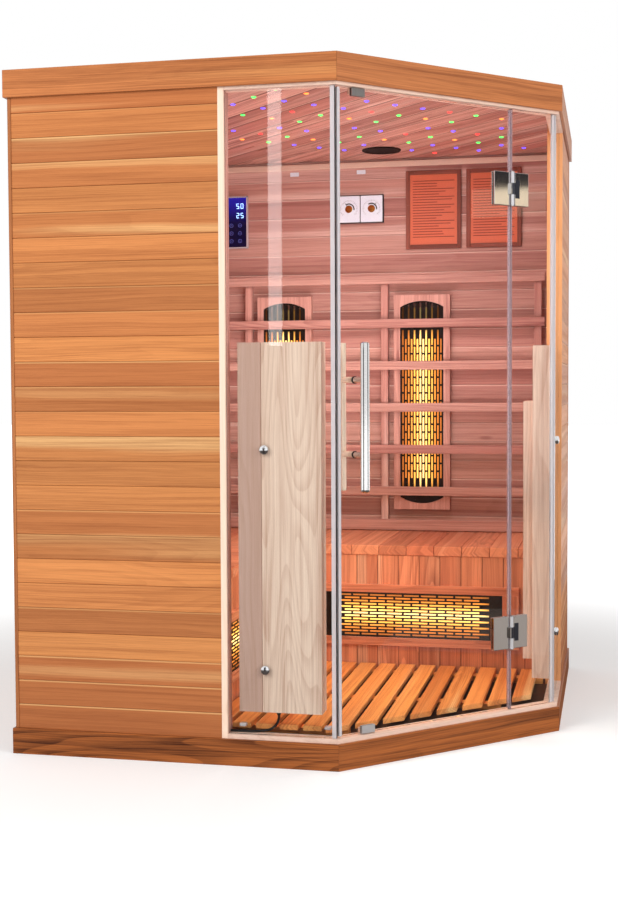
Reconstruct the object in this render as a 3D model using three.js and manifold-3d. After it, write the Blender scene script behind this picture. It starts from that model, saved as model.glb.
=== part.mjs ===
// Corner infrared sauna cabin for two or three people: a five-sided room of cedar panels on a plinth,
// with glass on both sides of a diagonal glass door, an L-shaped bench and eight infrared heaters.
// Millimetres, +Z up. The origin lies on the ground under the middle of the square that the cabin fills.
// The front face looks towards -Y, the diagonal door towards +X -Y, and the cabin is a mirror image
// of itself across the line x = -y.
import * as THREE from 'three';
import { mergeGeometries, mergeVertices } from 'three/addons/utils/BufferGeometryUtils.js';
import Module from 'manifold-3d';

const wasm = await Module();
wasm.setup();

// Overall sizes
const SIDE = 1500; // square that the cornice fills in a room corner
const FACE = 940; // straight stretch of the two glazed faces before the 45 degree cut
const HEIGHT = 1905;
const GAP = 0.3; // clearance between neighbours

// Plinth, roof and cornice
const PLINTH_H = 72.5;
const PLINTH_T = 20;
const PLINTH_INSET = 2.5; // plinth face behind the cornice face
const CORNICE_H = 76;
const WALL_INSET = 10; // wall face behind the cornice face
const ROOF_T = 40;
const ROOF_RECESS = 10; // roof deck below the cornice top
const CEILING_PLANK = 92;
const VENT_SLOT = { count: 3, length: 72, width: 6, spacing: 57, fromCentre: 477 };

// Panels and their cladding
const WALL_T = 50;
const WALL_PLANKS = 26;
const GROOVE_W = 3.2;
const GROOVE_D = 2;
const JAMB_W = 16;

// Glazing
const GLASS_T = 8;
const GLASS_INSET = 20; // outer glass face behind the cornice face
const SIDE_GLASS_W = 311; // corner to jamb, on both straight faces
const GLASS_REBATE = 5; // depth of the groove in the jamb
const CORNER_GAP = 3;
const HINGE_STRIP_W = 163; // fixed glass beside the door
const SILL = { inset: WALL_INSET, width: 42, height: 12.5 };
const HEAD_RAIL_H = 34;
const DOOR_GAP = { bottom: 5, top: 3.5 };

// Glass hinges
const HINGE = { plateW: 55, plateH: 95, plateT: 5, backT: 4, knuckleR: 8, pinR: 3, pinClear: 0.3 };
HINGE.clear = 1; // between the knuckles and the glass, and between the knuckles and the plates
HINGE.headR = 5; // pin heads
HINGE.headT = 2.5;
HINGE.gap = 6; // between the two glasses
HINGE.fromBottom = 222; // hinge centre above and below the door's ends
HINGE.fromTop = 225;
HINGE.boltSpacing = 50;
HINGE.boltR = 5;
HINGE.boltIn = 30; // bolts from the pin axis
const DRILL_CLEAR = 1.5; // glass holes are drilled this much larger in radius

// Door handle and catches
const HANDLE = { length: 400, barR: 12.5, standoff: 50, postSpacing: 200, fromEdge: 52, z: 947 };
HANDLE.postR = 7;
HANDLE.studR = 4;
const GRIP = { size: 14, standoff: 50, postR: 6.5 };
const CLIP = { width: 43, height: 21, thickness: 2 };
const CLIP_FROM_EDGE = { top: 66, bottom: 94 };
const MAGNET = { width: 36, depth: 15, height: 16 };

// Benches and backrests
const BENCH_DEPTH = 495; // wall to bench front
const SEAT_Z = 500;
const SEAT_T = 33;
const SEAT_NOSE = 5; // seat overhang
const SEAT_BOARD = 92;
const FRONT_T = 20;
const FRONT_BOARD = 68;
const SLAT = { height: 32, thickness: 16, count: 5, first: 646, pitch: 152.5 };
const BACKREST = { end: 30, topRail: 1399, topRailH: 32, bottomRail: 503, bottomRailH: 39, batten: 26 };
BACKREST.lap = 1;
BACKREST.clear = 2; // slats in front of the heater frames
BACKREST.fromHeater = 34; // upright beside a heater frame

// Heaters
const HEATER = { windowW: 158, windowH: 736, rise: 22, stile: 23.5, rail: 22, depth: 28, centreZ: 969 };
const HEATER_FROM_WALL = 472; // first heater from the end wall, then the spacing to the second
const HEATER_SPACING = 510;
const CALF = { windowW: 150, windowH: 600, rise: 0, stile: 27, rail: 54, depth: 12, centreZ: 268 };
const GRILLE = { setback: 4, thickness: 1.5, margin: 9, columns: 5, slotLength: 166, bridge: 10, end: 16 };
GRILLE.slotShare = 0.56; // slot width as a share of the column
const PAN = { clear: 2.2, sheet: 1.5, flare: 14, tubeR: 5.5, holder: 14 };
const COLUMN = { width: 230, depth: 60, bottom: 146, top: 1149, seam: 65, fromJamb: 30, heaterZ: 592 };
const COLUMN_BOLT = { radius: 5, across: 74, z: [262, 860] };

// Fittings on the back wall and ceiling
const PANEL = { width: 125, height: 193, depth: 14, corner: 4, lip: 5, recess: 1.5 };
PANEL.fromWall = 131;
PANEL.fromCeiling = 117;
const DIAL = { width: 84, height: 97, depth: 14, recessR: 35, recess: 3, hubR: 8, hub: 2, fromMiddle: -10 };
DIAL.fromCeiling = 130;
DIAL.needle = { length: 26, width: 2.4, height: 1.2 };
const SPEAKER = { flangeR: 68, flangeT: 5, basketR: 55, basketH: 28, x: 101, fromWall: 203 };
SPEAKER.coneR = 44;
SPEAKER.dish = 3;
SPEAKER.rim = 2; // chamfer round the flange

// Floor
const DUCKBOARD = { pitch: 66.5, slat: 52, slatT: 15, top: 105, clear: 6, batten: 40, margin: 8, lap: 1 };
DUCKBOARD.battens = [0.06, 0.5, 0.94]; // along the slats
const LEAD_R = 3.5;
const LEAD_IN = 14; // lead behind the inner glass face, along the sill
const GLAND = { radius: 8, length: 12, fromEdge: 103 };

// Worked out from the sizes above
const HALF = SIDE / 2;
const CORNER_TAN = Math.tan(Math.PI / 8);
const CEILING_Z = HEIGHT - ROOF_RECESS - ROOF_T;
const CORNICE_T = WALL_INSET - GAP;
const WALL_OUT = HALF - WALL_INSET;
const WALL_IN = WALL_OUT - WALL_T;
const WALL_BOTTOM = PLINTH_H + GAP;
const WALL_TOP = CEILING_Z - GAP;
const CUT_X = FACE - HALF; // where the front face meets the diagonal, on the cornice line
const JAMB_X = CUT_X - SIDE_GLASS_W; // glass side of the left jamb
const SILL_TOP = PLINTH_H + SILL.height;
const HEAD_BOTTOM = CEILING_Z - HEAD_RAIL_H;
const GLASS_BACK = GLASS_INSET + GLASS_T;
const DIAGONAL = (SIDE - FACE) * Math.SQRT2;
const DOOR_START = GLASS_BACK * CORNER_TAN + CORNER_GAP;
const STRIP_END = DIAGONAL - DOOR_START;
const STRIP_START = STRIP_END - HINGE_STRIP_W;
const HINGE_S = STRIP_START - HINGE.gap / 2;
const DOOR_END = STRIP_START - HINGE.gap;
const DOOR_BOTTOM = SILL_TOP + DOOR_GAP.bottom;
const DOOR_TOP = HEAD_BOTTOM - DOOR_GAP.top;
const HINGE_Z = [DOOR_BOTTOM + HINGE.fromBottom, DOOR_TOP - HINGE.fromTop];
const HANDLE_S = DOOR_START + HANDLE.fromEdge;
const HANDLE_POSTS = [-1, 1].map((end) => HANDLE.z + (end * HANDLE.postSpacing) / 2);
const SEAT_FRONT = BENCH_DEPTH + SEAT_NOSE;
const BENCH_X = BENCH_DEPTH - WALL_IN; // face of the left bench front
const COLUMN_X = JAMB_X + COLUMN.fromJamb; // left edge of the left column
const COLUMN_BACK = -HALF + GLASS_BACK + GAP;
const COLUMN_FRONT = COLUMN_BACK + COLUMN.depth;
const BACKREST_BACK = HEATER.depth + BACKREST.clear;
const HINGE_AXIS = GLASS_INSET - HINGE.knuckleR - HINGE.clear; // pin axis in from the cornice line
const PANEL_BOTTOM = CEILING_Z - PANEL.fromCeiling - PANEL.height;
const DIAL_BOTTOM = CEILING_Z - DIAL.fromCeiling - DIAL.height;

// Colours and finishes
const wood = (color) => new THREE.MeshStandardMaterial({ color, roughness: 0.6, metalness: 0 });
const metal = (color, roughness) => new THREE.MeshStandardMaterial({ color, roughness, metalness: 1 });
const plastic = (color, roughness) => new THREE.MeshStandardMaterial({ color, roughness, metalness: 0 });
const cedar = () => wood(0xcd8c50);
const innerCedar = () => wood(0xbe735f);
const hemlock = () => wood(0xe1c3a5);
const glass = () => new THREE.MeshStandardMaterial({
  color: 0xe8f0ee, roughness: 0.05, metalness: 0, transparent: true, opacity: 0.3,
});
const steel = () => metal(0xc9ccd0, 0.25);
const blackSteel = () => metal(0x1b1716, 0.5);

// Geometry helpers: an outline is a list of [x, y] points, and holes are outlines too
function outline(points, holes = []) {
  const shape = new THREE.Shape(points.map(([x, y]) => new THREE.Vector2(x, y)));
  shape.holes = holes.map((hole) => new THREE.Path(hole.map(([x, y]) => new THREE.Vector2(x, y))));
  return shape;
}

function extrude(shape, depth, curveSegments = 5) {
  return new THREE.ExtrudeGeometry(shape, { depth, bevelEnabled: false, curveSegments });
}

// Plan outline raised from bottom to top
const upright = (shape, bottom, top) => extrude(shape, top - bottom).translate(0, 0, bottom);

// Section in the YZ plane carried along X
function lengthwise(shape, start, end) {
  const turn = new THREE.Matrix4().set(0, 0, 1, start, 1, 0, 0, 0, 0, 1, 0, 0, 0, 0, 0, 1);
  return extrude(shape, end - start).applyMatrix4(turn);
}

// Front view in the XZ plane, growing from its back at y towards -Y
const facing = (shape, depth, y) => extrude(shape, depth).rotateX(Math.PI / 2).translate(0, y, 0);

const rectangle = (x0, y0, x1, y1) => [[x0, y0], [x1, y0], [x1, y1], [x0, y1]];

const box = (x0, y0, z0, x1, y1, z1) => upright(outline(rectangle(x0, y0, x1, y1)), z0, z1);

function pole(radius, bottom, top, sides = 12) {
  const geometry = new THREE.CylinderGeometry(radius, radius, top - bottom, sides);
  return geometry.rotateX(Math.PI / 2).translate(0, 0, (top + bottom) / 2);
}

// Round bar along Y
function dowel(radius, x, y0, y1, z, sides = 8) {
  return new THREE.CylinderGeometry(radius, radius, y1 - y0, sides).translate(x, (y0 + y1) / 2, z);
}

function solid(geometry) {
  const bare = geometry.clone();
  bare.deleteAttribute('normal');
  bare.deleteAttribute('uv');
  const merged = mergeVertices(bare, 1e-4);
  const vertProperties = new Float32Array(merged.attributes.position.array);
  const triVerts = new Uint32Array(merged.index.array);
  return new wasm.Manifold(new wasm.Mesh({ numProp: 3, vertProperties, triVerts }));
}

function geometryOf(manifold) {
  const mesh = manifold.getMesh();
  const geometry = new THREE.BufferGeometry();
  geometry.setAttribute('position', new THREE.BufferAttribute(mesh.vertProperties, 3));
  geometry.setIndex(new THREE.BufferAttribute(mesh.triVerts, 1));
  geometry.computeVertexNormals();
  return geometry;
}

const join = (...parts) => geometryOf(parts.map(solid).reduce((whole, part) => whole.add(part)));
function cut(body, ...tools) {
  return geometryOf(tools.map(solid).reduce((rest, tool) => rest.subtract(tool), solid(body)));
}
const common = (a, b) => geometryOf(solid(a).intersect(solid(b)));

function piece(parent, name, geometry, material) {
  const mesh = new THREE.Mesh(geometry, material);
  mesh.name = name;
  parent.add(mesh);
}

function frameAt(parent, x, y, z, turn) {
  const group = new THREE.Group();
  group.position.set(x, y, z);
  group.rotation.z = turn;
  parent.add(group);
  return group;
}

// Mirror image across the line x = -y
const mirrored = (points) => points.map(([x, y]) => [-y, -x]);

// The cabin's five-sided plan, set in from the cornice line
function pentagon(inset) {
  const edge = HALF - inset;
  const corner = [CUT_X - inset * CORNER_TAN, -edge];
  return [[-edge, -edge], corner, ...mirrored([corner]), [edge, edge], [-edge, edge]];
}

// Adds a V groove at one place along a straight face
function groove(points, place, face, inward, along) {
  for (const [shift, depth] of [[-GROOVE_W / 2, 0], [0, GROOVE_D], [GROOVE_W / 2, 0]]) {
    points.push([face + inward * depth, place + along * shift]);
  }
}

// Positions of the joints between boards of about the given width
function boardJoints(start, end, board) {
  const count = Math.max(1, Math.round((end - start) / board));
  return Array.from({ length: count - 1 }, (_, i) => start + ((i + 1) * (end - start)) / count);
}

const cabin = new THREE.Group();

// Plinth and floor
function floorPlatform() {
  const floorInset = PLINTH_INSET + PLINTH_T;
  const ring = outline(pentagon(PLINTH_INSET), [pentagon(floorInset)]);
  piece(cabin, 'plinth', upright(ring, 0, PLINTH_H), wood(0xa5642f));
  piece(cabin, 'floor_panel', upright(outline(pentagon(floorInset + GAP)), 0, PLINTH_H), wood(0x3a2a20));
}

// Roof deck with a planked ceiling, whose planks run square to the door, and the cornice round it
function roof() {
  const reach = SIDE; // planks are laid past the edges, then trimmed to the plan
  const ceiling = [[-reach, CEILING_Z]];
  for (const place of boardJoints(-reach, reach, CEILING_PLANK)) {
    ceiling.push([place - GROOVE_W / 2, CEILING_Z], [place, CEILING_Z + GROOVE_D]);
    ceiling.push([place + GROOVE_W / 2, CEILING_Z]);
  }
  const top = CEILING_Z + ROOF_T;
  ceiling.push([reach, CEILING_Z], [reach, top], [-reach, top]);
  const planks = lengthwise(outline(ceiling), -reach, reach).rotateZ(-Math.PI / 4);
  const deck = common(planks, upright(outline(pentagon(WALL_INSET)), CEILING_Z - 1, top + 1));
  const tools = [pole(SPEAKER.basketR + GAP, CEILING_Z - 1, CEILING_Z + SPEAKER.basketH + 1, 16)
    .translate(SPEAKER.x, WALL_IN - SPEAKER.fromWall, 0)];
  for (let i = 0; i < VENT_SLOT.count; i++) {
    const across = (i - (VENT_SLOT.count - 1) / 2) * VENT_SLOT.spacing;
    const start = -VENT_SLOT.fromCentre - VENT_SLOT.length / 2;
    tools.push(box(start, across - VENT_SLOT.width / 2, CEILING_Z - 1, start + VENT_SLOT.length,
      across + VENT_SLOT.width / 2, top + 1).rotateZ(-Math.PI / 4));
  }
  piece(cabin, 'roof_panel', cut(deck, ...tools), innerCedar());
  const ring = outline(pentagon(0), [pentagon(CORNICE_T)]);
  piece(cabin, 'cornice', upright(ring, HEIGHT - CORNICE_H, HEIGHT), cedar());
}

// A wall panel seen from outside: cladding on both faces, its outer face at y = -WALL_OUT
function wallPanel(name, turn, start, end) {
  const section = [];
  const joints = boardJoints(WALL_BOTTOM, WALL_TOP, (WALL_TOP - WALL_BOTTOM) / WALL_PLANKS);
  section.push([-WALL_OUT, WALL_BOTTOM]);
  joints.forEach((z) => groove(section, z, -WALL_OUT, 1, 1));
  section.push([-WALL_OUT, WALL_TOP], [-WALL_IN, WALL_TOP]);
  joints.reverse().forEach((z) => groove(section, z, -WALL_IN, -1, -1));
  section.push([-WALL_IN, WALL_BOTTOM]);
  const group = frameAt(cabin, 0, 0, 0, turn);
  piece(group, name, lengthwise(outline(section), start, end), cedar());
}

function walls() {
  const wallEnd = JAMB_X - JAMB_W - GAP;
  wallPanel('wall_front', 0, -WALL_OUT, wallEnd);
  wallPanel('wall_right', Math.PI / 2, -wallEnd, WALL_OUT);
  wallPanel('wall_back', Math.PI, -WALL_IN + GAP, WALL_IN - GAP);
  wallPanel('wall_left', -Math.PI / 2, -WALL_OUT, WALL_IN - GAP);
}

// Jambs that end the two front panels, grooved for the glass, and the fixed side glasses
function sideGlazing() {
  const outer = -WALL_OUT;
  const inner = -WALL_IN;
  const glassOuter = -HALF + GLASS_INSET;
  const glassInner = glassOuter + GLASS_T;
  const rebate = JAMB_X - GLASS_REBATE;
  const near = glassOuter - GAP;
  const far = glassInner + GAP;
  const jamb = [[JAMB_X - JAMB_W, outer], [JAMB_X, outer], [JAMB_X, near], [rebate, near],
    [rebate, far], [JAMB_X, far], [JAMB_X, inner], [JAMB_X - JAMB_W, inner]];
  const pane = rectangle(rebate + GAP, glassOuter, CUT_X - DOOR_START, glassInner);
  const boltX = COLUMN_X + COLUMN_BOLT.across;
  const drillR = COLUMN_BOLT.radius + DRILL_CLEAR;
  const drills = COLUMN_BOLT.z.map((z) => dowel(drillR, boltX, -HALF, COLUMN_BACK, z));
  const glassZ = [SILL_TOP + GAP, HEAD_BOTTOM - GAP];
  piece(cabin, 'jamb_left', upright(outline(jamb), WALL_BOTTOM, WALL_TOP), hemlock());
  piece(cabin, 'jamb_right', upright(outline(mirrored(jamb)), WALL_BOTTOM, WALL_TOP), hemlock());
  piece(cabin, 'glass_left', cut(upright(outline(pane), ...glassZ), ...drills), glass());
  const turned = drills.map((drill) => drill.clone().translate(-2 * boltX, 0, 0).rotateZ(Math.PI / 2));
  piece(cabin, 'glass_right', cut(upright(outline(mirrored(pane)), ...glassZ), ...turned), glass());
}

// Strip that follows the glass line from jamb to jamb, set in from the cornice line
function glassLine(inset, width) {
  const run = (depth) => {
    const corner = [CUT_X - depth * CORNER_TAN, -HALF + depth];
    const end = [JAMB_X + GAP, -HALF + depth];
    return [end, corner, ...mirrored([corner]), ...mirrored([end])];
  };
  return [...run(inset), ...run(inset + width).reverse()];
}

// Sill and head rail under and over the glass, each with the magnet block of a door catch
function sillAndHead() {
  const strip = outline(glassLine(SILL.inset, SILL.width));
  const magnetAt = (fromEdge, z0, z1) => {
    const s = DOOR_START + fromEdge;
    const near = GLASS_BACK + CLIP.thickness + 2 * GAP;
    return box(s - MAGNET.width / 2, near, z0, s + MAGNET.width / 2, near + MAGNET.depth, z1)
      .rotateZ(Math.PI / 4).translate(CUT_X, -HALF, 0);
  };
  const lap = 1; // the blocks are let into the strip
  const sill = upright(strip, WALL_BOTTOM, SILL_TOP);
  const head = upright(strip, HEAD_BOTTOM, WALL_TOP);
  const lowMagnet = magnetAt(CLIP_FROM_EDGE.bottom, SILL_TOP - lap, SILL_TOP + MAGNET.height);
  const highMagnet = magnetAt(CLIP_FROM_EDGE.top, HEAD_BOTTOM - MAGNET.height, HEAD_BOTTOM + lap);
  piece(cabin, 'sill', join(sill, lowMagnet), hemlock());
  piece(cabin, 'head_rail', join(head, highMagnet), hemlock());
}

// The diagonal: x runs along the door from the latch corner, y inwards from the cornice line
const diagonal = frameAt(cabin, CUT_X, -HALF, 0, Math.PI / 4);

const acrossGlass = (radius, s, z) => dowel(radius, s, GLASS_INSET - 1, GLASS_BACK + 1, z);

function hingeBolts(side, z) {
  return [-1, 1].map((end) => [HINGE_S + side * HINGE.boltIn, z + (end * HINGE.boltSpacing) / 2]);
}

function doorAndStrip() {
  const pane = (start, end, bottom, top) => box(start, GLASS_INSET, bottom, end, GLASS_BACK, top);
  const hingeHoles = (side) => HINGE_Z.flatMap((z) => hingeBolts(side, z))
    .map(([s, z]) => acrossGlass(HINGE.boltR + DRILL_CLEAR, s, z));
  const handleHoles = HANDLE_POSTS.map((z) => acrossGlass(HANDLE.studR + DRILL_CLEAR, HANDLE_S, z));
  const strip = pane(STRIP_START, STRIP_END, SILL_TOP + GAP, HEAD_BOTTOM - GAP);
  const door = pane(DOOR_START, DOOR_END, DOOR_BOTTOM, DOOR_TOP);
  piece(diagonal, 'glass_hinge_side', cut(strip, ...hingeHoles(1)), glass());
  piece(diagonal, 'door_glass', cut(door, ...hingeHoles(-1), ...handleHoles), glass());
}

// One half of a glass hinge: a plate on each side of the glass, two bolts through it, and knuckles.
// side is -1 for the door half with the middle knuckle and 1 for the fixed half with the outer two.
function hingeLeaf(side, z) {
  const plateStart = HINGE.knuckleR + HINGE.clear;
  const plateEnd = plateStart + HINGE.plateW;
  const half = HINGE.plateH / 2;
  const third = HINGE.plateH / 6;
  const plate = (near, far) => {
    const s = [HINGE_S + side * plateStart, HINGE_S + side * plateEnd].sort((a, b) => a - b);
    return box(s[0], near, z - half, s[1], far, z + half);
  };
  const front = [GLASS_INSET - GAP - HINGE.plateT, GLASS_INSET - GAP];
  const back = [GLASS_BACK + GAP, GLASS_BACK + GAP + HINGE.backT];
  const parts = [plate(...front), plate(...back)];
  for (const [s, boltZ] of hingeBolts(side, z)) {
    parts.push(dowel(HINGE.boltR, s, front[1] - 1, back[0] + 1, boltZ));
  }
  const reaches = side < 0 ? [[-third, third]] : [[-half, -third - GAP], [third + GAP, half]];
  for (const [low, high] of reaches) {
    const neck = [HINGE_S, HINGE_S + side * (plateStart + 2)].sort((a, b) => a - b);
    parts.push(pole(HINGE.knuckleR, z + low, z + high).translate(HINGE_S, HINGE_AXIS, 0));
    parts.push(box(neck[0], HINGE_AXIS - HINGE.knuckleR / 2, z + low, neck[1], front[1] - 1, z + high));
  }
  const bore = pole(HINGE.pinR + HINGE.pinClear, z - half - 1, z + half + 1);
  return cut(join(...parts), bore.translate(HINGE_S, HINGE_AXIS, 0));
}

function hinges() {
  const { pinR, headR, headT } = HINGE;
  ['bottom', 'top'].forEach((place, i) => {
    const z = HINGE_Z[i];
    const low = z - HINGE.plateH / 2 - GAP;
    const high = z + HINGE.plateH / 2 + GAP;
    const profile = [[0, low - headT], [headR, low - headT], [headR, low], [pinR, low],
      [pinR, high], [headR, high], [headR, high + headT], [0, high + headT]];
    const lathe = new THREE.LatheGeometry(profile.map(([r, y]) => new THREE.Vector2(r, y)), 12);
    const pin = lathe.rotateX(Math.PI / 2).translate(HINGE_S, HINGE_AXIS, 0);
    piece(diagonal, `hinge_${place}_fixed_leaf`, hingeLeaf(1, z), steel());
    piece(diagonal, `hinge_${place}_door_leaf`, hingeLeaf(-1, z), steel());
    piece(diagonal, `hinge_${place}_pin`, pin, steel());
  });
}

// Steel bar outside and wooden grip inside, clamped through the glass by two studs
function handle() {
  const barY = GLASS_INSET - HANDLE.standoff;
  const gripY = GLASS_BACK + GRIP.standoff;
  const studEnd = GLASS_BACK + GRIP.standoff / 2;
  const ends = [HANDLE.z - HANDLE.length / 2, HANDLE.z + HANDLE.length / 2];
  const bar = [pole(HANDLE.barR, ...ends).translate(HANDLE_S, barY, 0)];
  const half = GRIP.size / 2;
  const corner = half / 3;
  const section = new THREE.Shape();
  section.absarc(half - corner, half - corner, corner, 0, Math.PI / 2);
  section.absarc(corner - half, half - corner, corner, Math.PI / 2, Math.PI);
  section.absarc(corner - half, corner - half, corner, Math.PI, Math.PI * 1.5);
  section.absarc(half - corner, corner - half, corner, Math.PI * 1.5, Math.PI * 2);
  const grip = [extrude(section, HANDLE.length, 3).translate(HANDLE_S, gripY, ends[0])];
  const sockets = [];
  for (const z of HANDLE_POSTS) {
    bar.push(dowel(HANDLE.postR, HANDLE_S, barY, GLASS_INSET - GAP, z));
    bar.push(dowel(HANDLE.studR, HANDLE_S, barY, studEnd, z));
    grip.push(dowel(GRIP.postR, HANDLE_S, GLASS_BACK + GAP, gripY, z));
    sockets.push(dowel(HANDLE.studR + GAP, HANDLE_S, GLASS_BACK, studEnd + GAP, z));
  }
  piece(diagonal, 'door_handle', join(...bar), steel());
  piece(diagonal, 'inner_grip', cut(join(...grip), ...sockets), hemlock());
}

// Steel clips folded over the door's free corners, which the magnets pull on
function strikeClips() {
  const near = GLASS_INSET - GAP;
  const far = GLASS_BACK + GAP;
  const t = CLIP.thickness;
  const fold = (edge, inward) => {
    const lip = edge - inward * GAP;
    const back = lip - inward * t;
    const tip = edge + inward * (CLIP.height - t);
    return [[near - t, back], [far + t, back], [far + t, tip], [far, tip],
      [far, lip], [near, lip], [near, tip], [near - t, tip]];
  };
  const clip = (name, edge, inward, fromEdge) => {
    const s = DOOR_START + fromEdge;
    const folded = lengthwise(outline(fold(edge, inward)), s - CLIP.width / 2, s + CLIP.width / 2);
    piece(diagonal, name, folded, steel());
  };
  clip('strike_clip_top', DOOR_TOP, -1, CLIP_FROM_EDGE.top);
  clip('strike_clip_bottom', DOOR_BOTTOM, 1, CLIP_FROM_EDGE.bottom);
}

// Heaters are drawn upright round their centre, with their back on y = 0 and their front towards -Y.
// Window outline with straight sides and bowed ends
function windowOutline(width, height, rise) {
  const shape = new THREE.Shape();
  const x = width / 2;
  const shoulder = height / 2 - rise;
  shape.moveTo(-x, -shoulder);
  if (rise > 0) {
    const radius = (x * x + rise * rise) / (2 * rise);
    const centre = height / 2 - radius;
    const spread = Math.asin(x / radius);
    shape.absarc(0, -centre, radius, -Math.PI / 2 - spread, -Math.PI / 2 + spread);
    shape.absarc(0, centre, radius, Math.PI / 2 - spread, Math.PI / 2 + spread);
  } else {
    shape.lineTo(x, -shoulder);
    shape.lineTo(x, shoulder);
    shape.lineTo(-x, shoulder);
  }
  return shape;
}

function heaterFrame(spec) {
  const x = spec.windowW / 2 + spec.stile;
  const z = spec.windowH / 2 + spec.rail;
  const plate = outline(rectangle(-x, -z, x, z));
  plate.holes.push(new THREE.Path(windowOutline(spec.windowW, spec.windowH, spec.rise).getPoints(5)));
  return plate;
}

// Perforated face: columns of long slots, every other column shifted by half a slot like brickwork
function heaterGrille(spec, frontY) {
  const face = windowOutline(spec.windowW - 2 * GAP, spec.windowH - 2 * GAP, spec.rise);
  const columnW = (spec.windowW - 2 * GRILLE.margin) / GRILLE.columns;
  const slotW = columnW * GRILLE.slotShare;
  const limit = spec.windowH / 2 - spec.rise - GRILLE.end;
  const rows = Math.ceil((2 * limit) / GRILLE.slotLength) + 1;
  const back = frontY + GRILLE.setback + GRILLE.thickness;
  const slots = [];
  for (let column = 0; column < GRILLE.columns; column++) {
    const x = (column - (GRILLE.columns - 1) / 2) * columnW;
    for (let row = 0; row < rows; row++) {
      const start = -limit + (row - (column % 2) / 2) * GRILLE.slotLength;
      const low = Math.max(start + GRILLE.bridge / 2, -limit);
      const high = Math.min(start + GRILLE.slotLength - GRILLE.bridge / 2, limit);
      if (high - low > GRILLE.bridge) {
        const slot = outline(rectangle(x - slotW / 2, low, x + slotW / 2, high));
        slots.push(facing(slot, GRILLE.thickness + 2, back + 1));
      }
    }
  }
  return cut(facing(face, GRILLE.thickness, back), mergeGeometries(slots));
}

// Reflector trough with the infrared tube held across it by two end holders, in a well of the given depth
function heaterEmitter(spec, frontY, well) {
  const mouth = frontY + GRILLE.setback + GRILLE.thickness + GAP;
  const floor = frontY + well - PAN.clear;
  const x = spec.windowW / 2 - GAP;
  const lip = x - 2 * PAN.sheet;
  const bend = x - PAN.flare;
  const section = [[-x, mouth], [-lip, mouth], [-bend, floor - PAN.sheet], [bend, floor - PAN.sheet],
    [lip, mouth], [x, mouth], [bend + PAN.sheet, floor], [-bend - PAN.sheet, floor]];
  const reach = spec.windowH / 2 - spec.rise - GAP;
  const tubeEnd = reach - PAN.holder / 2;
  const tubeY = (mouth + floor) / 2;
  const trough = upright(outline(section), -reach, reach);
  const tube = pole(PAN.tubeR, -tubeEnd, tubeEnd, 8).translate(0, tubeY, 0);
  const holders = [-1, 1].map((end) => {
    const z = end * (reach - PAN.holder);
    return box(-PAN.holder, tubeY - PAN.tubeR, z - PAN.holder / 2, PAN.holder, floor - PAN.sheet / 2,
      z + PAN.holder / 2);
  });
  return join(trough, tube, ...holders);
}

// Grille and emitter set in a window whose frame has its face at frontY
function heaterUnit(parent, name, spec, frontY, well) {
  piece(parent, `${name}_grille`, heaterGrille(spec, frontY), blackSteel());
  piece(parent, `${name}_emitter`, heaterEmitter(spec, frontY, well), metal(0xffc36b, 0.35));
}

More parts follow.
